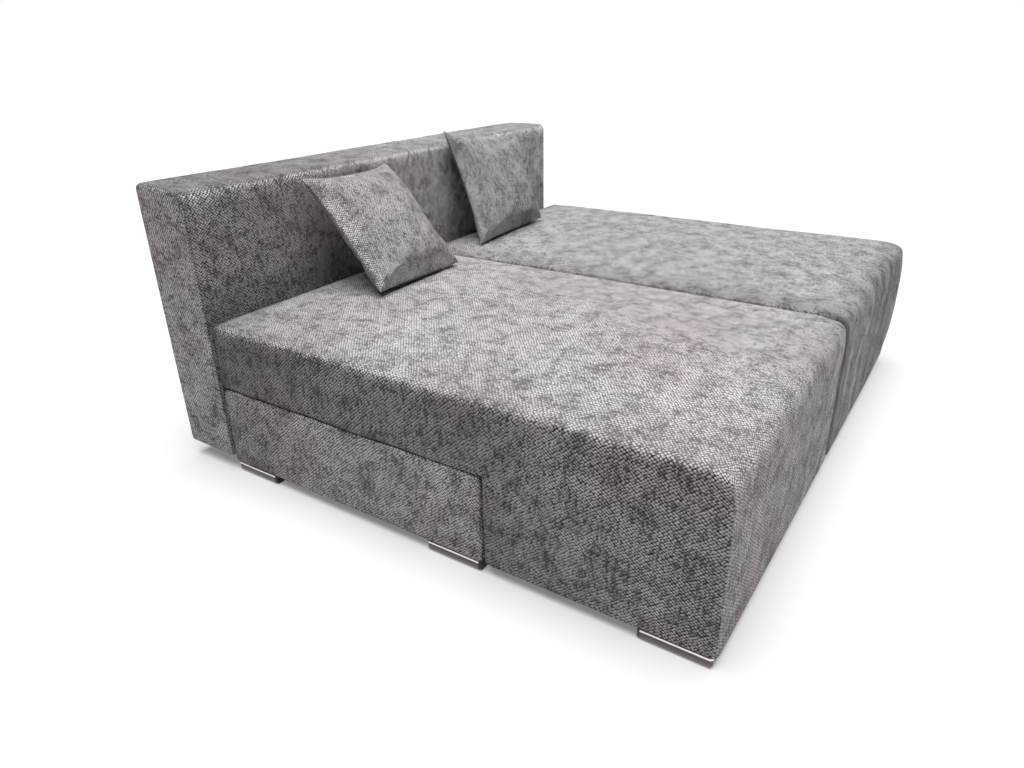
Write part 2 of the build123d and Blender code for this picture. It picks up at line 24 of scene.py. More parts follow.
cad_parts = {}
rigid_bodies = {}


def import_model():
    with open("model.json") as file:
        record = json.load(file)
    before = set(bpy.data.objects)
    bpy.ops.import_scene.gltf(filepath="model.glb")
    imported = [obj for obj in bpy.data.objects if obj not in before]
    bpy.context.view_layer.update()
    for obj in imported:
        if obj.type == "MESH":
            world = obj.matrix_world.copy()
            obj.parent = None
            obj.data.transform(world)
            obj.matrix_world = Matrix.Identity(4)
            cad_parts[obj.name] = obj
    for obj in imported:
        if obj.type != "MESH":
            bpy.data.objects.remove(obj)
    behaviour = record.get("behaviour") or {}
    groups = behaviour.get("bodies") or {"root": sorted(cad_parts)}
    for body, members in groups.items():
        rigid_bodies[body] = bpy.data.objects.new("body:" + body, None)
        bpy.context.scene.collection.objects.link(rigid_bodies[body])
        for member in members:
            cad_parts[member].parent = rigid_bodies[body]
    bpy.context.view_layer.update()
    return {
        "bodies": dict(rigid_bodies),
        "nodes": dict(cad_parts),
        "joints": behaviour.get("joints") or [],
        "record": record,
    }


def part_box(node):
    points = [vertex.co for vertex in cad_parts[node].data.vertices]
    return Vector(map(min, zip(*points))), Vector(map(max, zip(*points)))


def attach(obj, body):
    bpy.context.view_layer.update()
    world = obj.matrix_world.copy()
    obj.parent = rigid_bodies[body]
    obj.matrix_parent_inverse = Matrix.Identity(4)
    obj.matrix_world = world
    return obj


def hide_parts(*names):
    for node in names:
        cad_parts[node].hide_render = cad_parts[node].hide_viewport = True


LOG = logging.getLogger("sofa_bed")
MM = 0.001
CLOTH_UV = "cloth"
# Painted light and shade on the cloth, for each corner, by the way its panel faces.
PAINTED_LIGHT = "painted_light"
# How light the gaps between tufts are painted, from dark painted shade to lit.
PAINTED_GAP_LIGHT = "painted_gap_light"
SEAM = "seam"
LEAST = 0.5 * MM  # the smallest radius that is still rounded
TINY = 1e-9  # keeps a division or a comparison from failing at zero
LONG = 10.0  # a wave so long that it changes nothing along its axis

Points = np.ndarray
Tree = bpy.types.NodeTree
Socket = bpy.types.NodeSocket
UP, DOWN = (0.0, 0.0, 1.0), (0.0, 0.0, -1.0)
FRONT, REAR = (0.0, -1.0, 0.0), (0.0, 1.0, 0.0)
LEFT, RIGHT = (-1.0, 0.0, 0.0), (1.0, 0.0, 0.0)
CORNERS = ((-1, 1), (1, 1), (1, -1), (-1, -1))


class Hand(Enum):
    """Which of the two seat modules a piece belongs to."""

    LEFT = "left"
    RIGHT = "right"


# --------------------------------------------------------------------------- nodes


def linear(hex_colour: str) -> tuple[float, float, float, float]:
    """Turns an sRGB hex colour into linear RGBA.

    Args:
        hex_colour: Six hex digits after a hash sign.

    Returns:
        The linear colour with full alpha.
    """
    parts = [int(hex_colour[i : i + 2], 16) / 255 for i in (1, 3, 5)]
    red, green, blue = (
        p / 12.92 if p <= 0.04045 else ((p + 0.055) / 1.055) ** 2.4 for p in parts
    )
    return red, green, blue, 1.0


def add(tree: Tree, kind: str, inputs: dict | None = None, **settings: object) -> bpy.types.Node:
    """Adds one node to a tree with its settings, fixed inputs and links.

    Args:
        tree: The node tree that gets the node.
        kind: The node's type name.
        inputs: Socket name or index to a fixed value or to the output that feeds it.
        settings: The node's own properties.

    Returns:
        The new node.
    """
    made = tree.nodes.new(kind)
    for name, value in settings.items():
        setattr(made, name, value)
    for key, value in (inputs or {}).items():
        socket = made.inputs[key]
        if isinstance(value, bpy.types.NodeSocket):
            tree.links.new(value, socket)
        else:
            socket.default_value = value
    return made


def calc(tree: Tree, operation: str, *terms: float | Socket, **settings: object) -> Socket:
    """Does one sum with one to three terms."""
    return add(tree, "ShaderNodeMath", dict(enumerate(terms)), operation=operation,
               **settings).outputs[0]


def remap(tree: Tree, value: Socket, span: tuple, onto: tuple = (0.0, 1.0),
          soft: bool = False) -> Socket:
    """Maps a value from one span onto another and holds it at the ends, softly if asked."""
    return add(tree, "ShaderNodeMapRange",
               {"Value": value, "From Min": span[0], "From Max": span[1], "To Min": onto[0],
                "To Max": onto[1]},
               interpolation_type="SMOOTHSTEP" if soft else "LINEAR").outputs[0]


def mix(tree: Tree, share: Socket, low: tuple | Socket, high: tuple | Socket,
        blend: str = "MIX") -> Socket:
    """Mixes two colours by a share."""
    return add(tree, "ShaderNodeMix", {0: share, 6: low, 7: high}, data_type="RGBA",
               blend_type=blend).outputs[2]


def noisy(tree: Tree, place: Socket, size: float, detail: float = 2.0, roughness: float = 0.5,
          distortion: float = 0.0, room: str = "3D") -> bpy.types.Node:
    """Adds cloud noise whose largest grains have one size."""
    return add(tree, "ShaderNodeTexNoise",
               {"Vector": place, "Scale": 1 / size, "Detail": detail, "Roughness": roughness,
                "Distortion": distortion}, noise_dimensions=room)


def stretched(tree: Tree, place: Socket, scale: tuple, turn: float = 0.0) -> Socket:
    """Scales a pattern's coordinates along each axis and turns them, in degrees, in plan."""
    return add(tree, "ShaderNodeMapping",
               {"Vector": place, "Scale": scale, "Rotation": (0.0, 0.0, math.radians(turn))}
               ).outputs[0]


def strayed(tree: Tree, place: Socket, stray: Socket, reach: float) -> Socket:
    """Lets a pattern's coordinates stray by a vector times a reach."""
    shift = add(tree, "ShaderNodeVectorMath", {0: stray, "Scale": reach}, operation="SCALE")
    return add(tree, "ShaderNodeVectorMath", {0: place, 1: shift.outputs[0]},
               operation="ADD").outputs[0]


def toned(tree: Tree, share: Socket, *stops: tuple[float, str]) -> Socket:
    """Turns a share into a colour between two or more stops of place and hex colour."""
    made = add(tree, "ShaderNodeValToRGB", {"Fac": share})
    for element, stop in zip(made.color_ramp.elements, (stops[0], stops[-1])):
        element.position, element.color = stop[0], linear(stop[1])
    for spot, colour in stops[1:-1]:
        made.color_ramp.elements.new(spot).color = linear(colour)
    return made.outputs["Color"]


def raised(tree: Tree, height: Socket, distance: float, strength: float) -> Socket:
    """Bends the surface's normal as if a height stood on it."""
    return add(tree, "ShaderNodeBump",
               {"Height": height, "Distance": distance, "Strength": strength}).outputs[0]


def new_material(name: str) -> tuple[bpy.types.Material, Tree]:
    """Makes an empty node material with a plain name."""
    material = bpy.data.materials.new(name)
    material.use_nodes = True
    material.node_tree.nodes.clear()
    return material, material.node_tree


# --------------------------------------------------------------------------- finishes


class Finish:
    """A finish: its class says by which nodes the real material gets its look."""

    name: str

    def build(self) -> bpy.types.Material:
        """Builds the material.

        Returns:
            The material, which ends in one principled shader.
        """
        material, tree = new_material(self.name)
        place = add(tree, "ShaderNodeTexCoord").outputs["Object"]
        shader = add(tree, "ShaderNodeBsdfPrincipled", self._surface(tree, place))
        add(tree, "ShaderNodeOutputMaterial", {"Surface": shader.outputs[0]})
        return material

    def _surface(self, tree: Tree, place: Socket) -> dict:
        """Gives a value or an output to each of the shader's sockets that the finish needs."""
        raise NotImplementedError


@dataclass(frozen=True)
class Chenille(Finish):
    """Woven chenille: soft raised tufts in a staggered weave, clouded light and dark.

    The pile lies at changing angles, so patches of it look lighter or darker, and its fine
    fibres brighten where the surface is seen at a slant. The tufts are as far apart as they
    are in the photograph. Where a span is given from high to low, what it gives falls.
    """

    name: str = "grey_chenille"
    tuft_pitch: float = 7.4 * MM
    row_squeeze: float = 1.2
    stagger: float = 45.0
    scatter: float = 0.3
    tuft_span: tuple[float, float] = (0.64, 0.24)
    light: str = "#efebeb"
    middle: str = "#d9d4d6"
    dark: str = "#928c91"
    gap: str = "#322f34"
    # The gap colour is the tufts' gaps in painted shade; this one is the gaps painted lit.
    lying_gap: str = "#918d8f"
    rosy: str = "#faf0ef"
    sway: tuple[float, float] = (30 * MM, 6 * MM)
    cloud: float = 60 * MM
    streak: tuple[float, float] = (10 * MM, 38 * MM)
    streak_share: float = 0.85
    tone_span: tuple[float, float] = (0.7, 1.08)
    tuft_tones: tuple[float, float] = (-0.34, 0.4)
    blush: float = 300 * MM
    blush_span: tuple[float, float] = (0.45, 0.65)
    warm_span: tuple[float, float] = (0.05, -0.15)
    warmth: float = 0.8
    drift_span: tuple[float, float] = (0.36, 0.64)
    drift_tones: tuple[float, float] = (0.8, 1.09)
    fuzz: float = 2.6 * MM
    fuzz_share: float = 0.3
    relief: float = 3.6 * MM

    def _tufts(self, tree: Tree, flat: Socket) -> tuple[Socket, Socket]:
        """Weaves the tufts on the flat cloth.

        Args:
            tree: The material's nodes.
            flat: Coordinates on the cloth as it was cut.

        Returns:
            How far up its tuft each place is, and a share that is each tuft's own.
        """
        sway = noisy(tree, flat, self.sway[0], 1.0, room="2D")
        centred = add(tree, "ShaderNodeVectorMath", {0: sway.outputs["Color"], 1: (0.5, 0.5, 0.5)},
                      operation="SUBTRACT")
        swayed = strayed(tree, flat, centred.outputs[0], self.sway[1])
        turned = stretched(tree, swayed, (1.0, self.row_squeeze, 1.0), self.stagger)
        tufts = add(tree, "ShaderNodeTexVoronoi",
                    {"Vector": turned, "Scale": 1 / self.tuft_pitch, "Randomness": self.scatter},
                    voronoi_dimensions="2D", feature="F1")
        own = add(tree, "ShaderNodeSeparateColor", {"Color": tufts.outputs["Color"]})
        return remap(tree, tufts.outputs["Distance"], self.tuft_span, soft=True), own.outputs[0]

    def _surface(self, tree: Tree, place: Socket) -> dict:
        """Colours the tufts and the gaps between them, and raises both."""
        flat = add(tree, "ShaderNodeUVMap", uv_map=CLOTH_UV).outputs[0]
        crown, own = self._tufts(tree, flat)
        clouds = noisy(tree, place, self.cloud, 5.0, 0.7, 0.3).outputs["Fac"]
        drawn = stretched(tree, flat, (1 / self.streak[0], 1 / self.streak[1], 1.0))
        streaks = noisy(tree, drawn, 1.0, 2.0, 0.7, room="2D").outputs["Fac"]
        mixed = calc(tree, "MULTIPLY_ADD", streaks, self.streak_share, clouds)
        tone = calc(tree, "ADD", remap(tree, mixed, self.tone_span),
                    remap(tree, own, (0.0, 1.0), self.tuft_tones), use_clamp=True)
        colour = toned(tree, tone, (0.0, self.dark), (0.5, self.middle), (1.0, self.light))
        across = add(tree, "ShaderNodeSeparateXYZ", {0: place}).outputs[0]
        warm = remap(tree, across, self.warm_span, (0.0, self.warmth))
        blush = noisy(tree, place, self.blush).outputs["Fac"]
        blushed = remap(tree, blush, self.blush_span, (0.0, warm))
        tinted = mix(tree, blushed, colour, linear(self.rosy), "MULTIPLY")
        # Painted light: each panel's colour is scaled, and its tuft gaps are lit or shaded, by the
        # way it faces.
        painted_light, lying = (add(tree, "ShaderNodeAttribute", attribute_name=name,
                          attribute_type="GEOMETRY").outputs["Fac"] for name in (PAINTED_LIGHT, PAINTED_GAP_LIGHT))
        between = mix(tree, lying, linear(self.gap), linear(self.lying_gap))
        cloth = mix(tree, crown, between, tinted)
        drifts = remap(tree, clouds, self.drift_span, self.drift_tones)
        painted_cloth = add(tree, "ShaderNodeVectorMath",
                      {0: cloth, "Scale": calc(tree, "MULTIPLY", painted_light, drifts)}, operation="SCALE")
        fuzz = noisy(tree, place, self.fuzz, 1.0).outputs["Fac"]
        height = calc(tree, "MULTIPLY_ADD", fuzz, self.fuzz_share, crown)
        return {"Base Color": painted_cloth.outputs[0], "Roughness": 0.95, "Specular IOR Level": 0.15,
                "Sheen Weight": 0.12, "Sheen Roughness": 0.5,
                "Normal": raised(tree, height, self.relief, 1.0)}


@dataclass(frozen=True)
class Chrome(Finish):
    """Chromed steel strip with painted reflections: a bright painted highlight along its top over
    a dim painted reflection on its face.

    The heights are over the floor; the face's painted reflection is lighter near the floor and
    darker upwards.
    """

    name: str = "chromed_steel_strip"
    satin: str = "#837a78"
    polished: str = "#f4f0ef"
    shaded: str = "#5c5452"
    edge: tuple[float, float] = (23 * MM, 24.6 * MM)
    shade: tuple[float, float] = (3 * MM, 20 * MM)
    wave: tuple[float, float] = (22 * MM, 1.2 * MM)
    line: float = 0.6 * MM
    drawing: float = 0.02
    roughness: tuple[float, float] = (0.1, 0.26)
    relief: float = 0.05 * MM

    def _surface(self, tree: Tree, place: Socket) -> dict:
        """Paints the strip's reflections by height and gives it fine drawing lines."""
        height = add(tree, "ShaderNodeSeparateXYZ", {0: place}).outputs[2]
        wave = noisy(tree, place, self.wave[0]).outputs["Fac"]
        wavy = calc(tree, "MULTIPLY_ADD", wave, self.wave[1], height)
        # Painted reflection: a dim face and a bright highlight band at the top, set by height.
        face = mix(tree, remap(tree, height, self.shade), linear(self.satin), linear(self.shaded))
        tint = mix(tree, remap(tree, wavy, self.edge, soft=True), face, linear(self.polished))
        drawn = stretched(tree, place, (1.0, self.drawing, 1.0))
        drawing = noisy(tree, drawn, self.line).outputs["Fac"]
        return {"Base Color": tint, "Metallic": 1.0,
                "Roughness": remap(tree, drawing, (0.0, 1.0), self.roughness),
                "Normal": raised(tree, drawing, self.relief, 0.3)}


@dataclass(frozen=True)
class Plain(Finish):
    """A moulded, pressed, plated or felted finish: one colour broken up by its own grain."""

    name: str
    tone: str
    deep: str
    grain: float
    roughness: float
    relief: float = 0.1 * MM
    metallic: float = 0.0
    sheen: float = 0.0
    stretch: tuple[float, float, float] = (1.0, 1.0, 1.0)
    stops: tuple[float, float] = (0.32, 0.68)

    def _surface(self, tree: Tree, place: Socket) -> dict:
        """Spreads the deep tone between the grains and raises them a little."""
        grains = noisy(tree, stretched(tree, place, self.stretch), self.grain, 4.0, 0.6)
        colour = toned(tree, grains.outputs["Fac"], (self.stops[0], self.deep),
                       (self.stops[1], self.tone))
        return {"Base Color": colour, "Metallic": self.metallic, "Roughness": self.roughness,
                "Sheen Weight": self.sheen,
                "Normal": raised(tree, grains.outputs["Fac"], self.relief, 0.6)}


@dataclass(frozen=True)
class Flakes(Finish):
    """Raw chipboard: pressed flakes of pale and brown wood with a sanded face."""

    name: str = "raw_chipboard"
    pale: str = "#d9c295"
    brown: str = "#a98a58"
    flake: float = 3.2 * MM
    bend: tuple[float, float] = (9 * MM, 6 * MM)
    relief: float = 0.2 * MM

    def _surface(self, tree: Tree, place: Socket) -> dict:
        """Gives each bent flake its own brown."""
        bent = noisy(tree, place, self.bend[0]).outputs["Color"]
        moved = strayed(tree, place, bent, self.bend[1])
        chips = add(tree, "ShaderNodeTexVoronoi", {"Vector": moved, "Scale": 1 / self.flake})
        own = add(tree, "ShaderNodeSeparateColor", {"Color": chips.outputs["Color"]})
        return {"Base Color": toned(tree, own.outputs[0], (0.0, self.brown), (1.0, self.pale)),
                "Roughness": 0.75,
                "Normal": raised(tree, chips.outputs["Distance"], self.relief, 0.4)}


@dataclass(frozen=True)
class Timber(Finish):
    """Sawn or planed timber: growth rings that a cut along the board draws out."""

    name: str
    early: str
    late: str
    ring: float
    roughness: float = 0.6
    along: float = 0.12
    ring_scale: float = 0.3
    waviness: float = 6.0
    relief: float = 0.15 * MM

    def _surface(self, tree: Tree, place: Socket) -> dict:
        """Bands the board in early and late wood."""
        drawn = stretched(tree, place, (self.along, self.along, 1.0))
        rings = add(tree, "ShaderNodeTexWave",
                    {"Vector": drawn, "Scale": self.ring_scale / self.ring,
                     "Distortion": self.waviness, "Detail": 3.0, "Detail Scale": 1.6},
                    wave_type="BANDS", bands_direction="Z").outputs["Fac"]
        return {"Base Color": toned(tree, rings, (0.0, self.early), (1.0, self.late)),
                "Roughness": self.roughness, "Normal": raised(tree, rings, self.relief, 0.4)}


METAL = {"metallic": 1.0}
FINISHES: dict[str, Finish] = {
    # The matt, restless grey of the whole sofa bed, light where the pile lies over.
    "chenille": Chenille(),
    # A painted bright highlight over a face painted dim: the only hard, cold thing in sight.
    "chrome": Chrome(),
    # Speckled straw yellow with sanded flakes.
    "chipboard": Flakes(),
    # Warm yellow with wide brown rings.
    "pine": Timber("sawn_pine", "#dcbd86", "#b98d52", 6 * MM),
    # Pinkish brown, finer and smoother than the pine.
    "beech": Timber("planed_beech", "#cfa878", "#b4875a", 2.2 * MM, 0.45),
    # Dark brown board with a dull shine.
    "hardboard": Plain("pressed_hardboard", "#7d5a3a", "#5b3f27", 1.4 * MM, 0.5),
    # Near black with a faint moulded grain.
    "black_plastic": Plain("moulded_black_polypropylene", "#202021", "#141415", 0.5 * MM, 0.42),
    # Milky white and smooth.
    "nylon": Plain("natural_nylon", "#e9e7df", "#dcd9cf", 1 * MM, 0.35),
    # Cool light grey metal, softly blotched.
    "zinc_steel": Plain("zinc_plated_steel", "#b9bcc0", "#9a9ca2", 2 * MM, 0.38, **METAL),
    # Dark grey wire with an oily shine that is drawn along it.
    "spring_steel": Plain("oiled_spring_wire", "#6f7074", "#4b4b4f", 1.5 * MM, 0.4,
                          stretch=(0.2, 1.0, 1.0), **METAL),
    # Cream with open pores.
    "foam": Plain("cut_foam", "#e6e0c8", "#cfc8ab", 1.6 * MM, 0.95, relief=0.5 * MM),
    # Loose white fleece with a pale rim of fibres.
    "wadding": Plain("polyester_wadding", "#f0efea", "#dcdad3", 5 * MM, 0.95,
                     relief=0.8 * MM, sheen=0.4),
    # Mottled grey, pressed from scraps.
    "felt": Plain("needle_felt", "#77736f", "#4f4c49", 1.2 * MM, 0.95, sheen=0.3),
    # Flat black, so that the underside disappears.
    "dust_cloth": Plain("black_spunbond", "#1d1d1e", "#0d0d0e", 0.9 * MM, 0.85),
    # Straw-coloured bands with ribs along them.
    "webbing": Plain("elastic_webbing", "#c5b68e", "#a08f66", 1.2 * MM, 0.8,
                     stretch=(1.0, 1.0, 0.2)),
    # Dark grey tape and teeth that stay quiet in the seam.
    "zip_tape": Plain("dark_zip_tape", "#2a292c", "#161518", 0.8 * MM, 0.6),
}


class Finishes:
    """All the finishes of the sofa bed, one for each material slot of the record."""

    def __init__(self) -> None:
        """Builds every finish once."""
        self.by_slot = {slot: finish.build() for slot, finish in FINISHES.items()}

    def dress(self, obj: bpy.types.Object, slot: str) -> None:
        """Gives a piece one finish for all its faces, by the record's material slot."""
        obj.data.materials.clear()
        obj.data.materials.append(self.by_slot[slot])


# --------------------------------------------------------------------------- mesh helpers


@dataclass
class Shell:
    """Vertices, quads and flat cloth coordinates of one piece while it is put together."""

    points: list[Points] = field(default_factory=list)
    quads: list[list[int]] = field(default_factory=list)
    flat: list[tuple[float, float]] = field(default_factory=list)
    count: int = 0

    def grid(self, place: Points, flat: Points, outward: Points, closed: bool = False) -> None:
        """Adds a grid of quads that faces outward.

        Args:
            place: Positions, rows by columns by three.
            flat: Cloth coordinates, rows by columns by two; one column more where closed.
            outward: The direction that the grid faces, for each point.
            closed: Whether the last column joins the first.
        """
        rows, columns = place.shape[:2]
        whole = np.concatenate([place, place[:, :1]], axis=1) if closed else place
        spans = whole.shape[1] - 1
        first, beside, after = whole[:-1, :-1], whole[:-1, 1:], whole[1:, :-1]
        normals = np.cross(beside - first, after - first)
        around = [(0, 0), (0, 1), (1, 1), (1, 0)]
        if float(np.sum(normals * outward[: rows - 1, :spans])) < 0:
            around.reverse()
        for row in range(rows - 1):
            for column in range(spans):
                cells = [(row + r, column + c) for r, c in around]
                self.quads.append([self.count + r * columns + c % columns for r, c in cells])
                self.flat.extend(tuple(flat[cell]) for cell in cells)
        self.points.append(place.reshape(-1, 3))
        self.count += rows * columns

    def mesh(self, name: str, weld: float = 0.02 * MM) -> bpy.types.Object:
        """Welds the grids into one smooth mesh object.

        Args:
            name: The piece's name.
            weld: Distance under which vertices become one.

        Returns:
            The object, at the origin.
        """
        data = bpy.data.meshes.new(name)
        data.from_pydata(np.vstack(self.points).tolist(), [], self.quads)
        layer = data.uv_layers.new(name=CLOTH_UV)
        layer.data.foreach_set("uv", np.array(self.flat, np.float32).ravel())
        work = bmesh.new()
        work.from_mesh(data)
        bmesh.ops.remove_doubles(work, verts=work.verts, dist=weld)
        bmesh.ops.dissolve_degenerate(work, edges=work.edges, dist=weld)
        for face in work.faces:
            face.smooth = True
        work.to_mesh(data)
        work.free()
        obj = bpy.data.objects.new(name, data)
        bpy.context.scene.collection.objects.link(obj)
        return obj


def read(items: bpy.types.bpy_prop_collection, what: str, width: int = 1,
         kind: type = np.float32) -> Points:
    """Reads one property of many items into an array, one row for each where it has a width."""
    flat = np.zeros(len(items) * width, kind)
    items.foreach_get(what, flat)
    return flat.reshape(-1, width) if width > 1 else flat


def read_points(obj: bpy.types.Object) -> Points:
    """Vertex positions of a mesh object as an array."""
    return read(obj.data.vertices, "co", 3).astype(float)


def read_normals(obj: bpy.types.Object) -> Points:
    """Vertex normals of a mesh object as an array."""
    return read(obj.data.vertices, "normal", 3).astype(float)


def read_seam(obj: bpy.types.Object) -> Points:
    """For each vertex of a cushion how near it is to the seam, 1 where it lies on it."""
    return read(obj.data.attributes[SEAM].data, "value")


def write_points(obj: bpy.types.Object, points: Points) -> None:
    """Writes an array of vertex positions into a mesh object."""
    obj.data.vertices.foreach_set("co", points.astype(np.float32).ravel())
    obj.data.update()


def write_values(obj: bpy.types.Object, name: str, domain: str, values: Points) -> None:
    """Gives a mesh object a new attribute with one value for each point, edge or corner."""
    layer = obj.data.attributes.new(name, "FLOAT", domain)
    layer.data.foreach_set("value", values.astype(np.float32))


Panel = tuple[tuple[float, float, float], float, float]


def paint_panel_light(obj: bpy.types.Object, panels: Sequence[Panel], streaks: Points) -> None:
    """Writes the painted light and shade of each panel, by the way it faces, and of its tuft gaps.

    Args:
        obj: The upholstered piece.
        panels: Direction that a panel faces, its painted lightness, with 1 as the cloth's own, and
            how light its tuft gaps are painted, from 0, dark with painted shade, to 1, lit.
        streaks: A factor for each vertex's lightness, painted light and shade on pleats, seams and
            rims.
    """
    mesh = obj.data
    ways = np.array([row[0] for row in panels])
    nearest = np.argmax(read(mesh.polygons, "normal", 3) @ ways.T, axis=1)
    corners = read(mesh.polygons, "loop_total", kind=np.int32)
    light, painted_gap_light = (np.repeat(np.array([row[column] for row in panels])[nearest], corners)
                  for column in (1, 2))
    write_values(obj, PAINTED_LIGHT, "CORNER",
                 light * streaks[read(mesh.loops, "vertex_index", kind=np.int32)])
    write_values(obj, PAINTED_GAP_LIGHT, "CORNER", painted_gap_light)


def ripple(points: Points, scale: Sequence[float], seed: float) -> Points:
    """Smooth noise at many points.

    Args:
        points: Positions, in metres.
        scale: Wavelength along each axis, in metres.
        seed: Offset that makes the noise this piece's own.

    Returns:
        One value from about -1 to 1 for each point.
    """
    spots = points / np.array(scale) + seed
    return np.array([noise.noise(Vector(spot)) for spot in spots])


@dataclass(frozen=True)
class Wave:
    """Soft waves: their lengths along X, Y and Z, how high they stand, and their seed."""

    lengths: tuple[float, float, float]
    height: float = 1.0
    seed: float = 0.0

    def at(self, points: Points, seed: float = 0.0) -> Points:
        """Height of the waves at many points, for a piece with a seed of its own."""
        return ripple(points, self.lengths, seed + self.seed) * self.height


def smooth(low: float, high: float, value: Points) -> Points:
    """Rises smoothly from 0 at low to 1 at high."""
    share = np.clip((value - low) / (high - low), 0.0, 1.0)
    return share * share * (3 - 2 * share)


def lines(low: float, high: float, step: float, bands: Sequence[float]) -> Points:
    """Grid lines between two ends, closer together near the ends.

    Args:
        low: First line.
        high: Last line.
        step: Largest spacing.
        bands: Widths from each end that get three lines each.

    Returns:
        The sorted lines.
    """
    near = sorted({0.0, *(band * share for band in bands for share in (1 / 3, 2 / 3, 1.0))})
    inner = high - low - 2 * near[-1]
    count = max(1, math.ceil(inner / step))
    middle = [near[-1] + inner * i / count for i in range(1, count)]
    spots = near + middle + [high - low - n for n in reversed(near)]
    return low + np.array(spots)


def soft_floor(value: Points, ease: float) -> Points:
    """Keeps values above zero, bending smoothly into it over the ease on both sides."""
    share = np.clip((value + ease) / (2 * ease), 0.0, 1.0)
    return np.where(value > ease, value, np.where(value < -ease, 0.0, ease * share * share))


def seat_heights(seat: bpy.types.Object, above: float = 2.0) -> Callable[..., float]:
    """Reads how high a seat's top is at any point.

    Args:
        seat: The seat's upholstery.
        above: A height over everything, from which it is looked for.

    Returns:
        A function from x and y to the top's height.
    """
    tree = BVHTree.FromObject(seat, bpy.context.evaluated_depsgraph_get())

    def height(x: float, y: float) -> float:
        hit = tree.ray_cast(Vector((x, y, above)), Vector(DOWN))[0]
        return hit.z if hit else -1.0

    return height


@dataclass
class Pad:
    """A padded slab with a rounded rim, in its own axes: a and b across its face, c out of it.

    The face is a grid whose corners are rounded in plan, and a profile of steps carries its
    border out and down to the rim's lower edge.
    """

    a_lines: Points
    b_lines: Points
    roll: float
    corner: tuple[float, float]
    top: float
    square: float = 0.0
    odd_corner: float | None = None

    def _corner_inset(self, side_a: int, side_b: int) -> float:
        """Radius that is left of a plan corner inside the rolled rim."""
        radius = self.corner[1 if side_b > 0 else 0]
        if self.odd_corner is not None and side_a < 0 < side_b:
            radius = self.odd_corner
        return max(radius - self.roll, LEAST)

    def plan(self, a: Points, b: Points) -> tuple[Points, Points, Points]:
        """Rounds the plan corners of grid points.

        Args:
            a: First coordinates.
            b: Second coordinates.

        Returns:
            Rounded first and second coordinates, and the outward direction at border points.
        """
        low_a, high_a, low_b, high_b = (
            self.a_lines[0], self.a_lines[-1], self.b_lines[0], self.b_lines[-1])
        out = np.zeros(a.shape + (2,))
        out[..., 0] = np.where(a <= low_a, -1.0, np.where(a >= high_a, 1.0, 0.0))
        out[..., 1] = np.where(b <= low_b, -1.0, np.where(b >= high_b, 1.0, 0.0))
        new_a, new_b = a.copy(), b.copy()
        for side_a in (-1, 1):
            for side_b in (-1, 1):
                inset = self._corner_inset(side_a, side_b)
                centre_a = (high_a if side_a > 0 else low_a) - side_a * inset
                centre_b = (high_b if side_b > 0 else low_b) - side_b * inset
                away_a, away_b = (a - centre_a) * side_a, (b - centre_b) * side_b
                held = (away_a > TINY) & (away_b > TINY)
                most = np.maximum(away_a, away_b)
                reach = np.maximum(np.hypot(away_a, away_b), TINY)
                new_a = np.where(held, centre_a + side_a * away_a * most / reach, new_a)
                new_b = np.where(held, centre_b + side_b * away_b * most / reach, new_b)
                out[..., 0] = np.where(held, side_a * away_a / reach, out[..., 0])
                out[..., 1] = np.where(held, side_b * away_b / reach, out[..., 1])
        size = np.maximum(np.linalg.norm(out, axis=-1, keepdims=True), TINY)
        return new_a, new_b, out / size

    def border(self) -> tuple[Points, Points]:
        """Border points in order round the face, and the outward direction at each."""
        a, b = self.a_lines, self.b_lines
        ring_a = np.concatenate([a[:-1], np.full(len(b) - 1, a[-1]), a[:0:-1],
                                 np.full(len(b) - 1, a[0])])
        ring_b = np.concatenate([np.full(len(a) - 1, b[0]), b[:-1],
                                 np.full(len(a) - 1, b[-1]), b[:0:-1]])
        round_a, round_b, out = self.plan(ring_a, ring_b)
        out = out / np.abs(out).max(axis=-1, keepdims=True) ** self.square
        return np.stack([round_a, round_b], axis=-1), out

    def rim_steps(self, parts: int = 5) -> list[tuple[float, float]]:
        """Steps of the rolled rim: how far out and at what height, from the face outwards."""
        turns = [math.radians(90) * i / parts for i in range(parts + 1)]
        return [(self.roll * math.sin(t), self.top - self.roll * (1 - math.cos(t))) for t in turns]


Axes = Callable[[Points], Points]


def add_face(shell: Shell, pad: Pad, axes: Axes, crown: Callable[[Points, Points], Points],
             direction: float = 1.0) -> None:
    """Adds a pad's face to a shell.

    Args:
        shell: The shell that grows.
        pad: The pad whose face it is.
        axes: Turns the pad's own coordinates into the row frame.
        crown: Extra height at each point of the face.
        direction: 1 where the face looks along c, and -1 where it looks back.
    """
    a, b = np.meshgrid(pad.a_lines, pad.b_lines, indexing="ij")
    round_a, round_b, _ = pad.plan(a, b)
    own = np.stack([round_a, round_b, np.full(a.shape, pad.top) + crown(a, b)], axis=-1)
    centre = np.array([0.0, 0.0, direction])
    outward = axes(own + centre) - axes(own)
    shell.grid(axes(own), np.stack([round_a, round_b], axis=-1), outward)


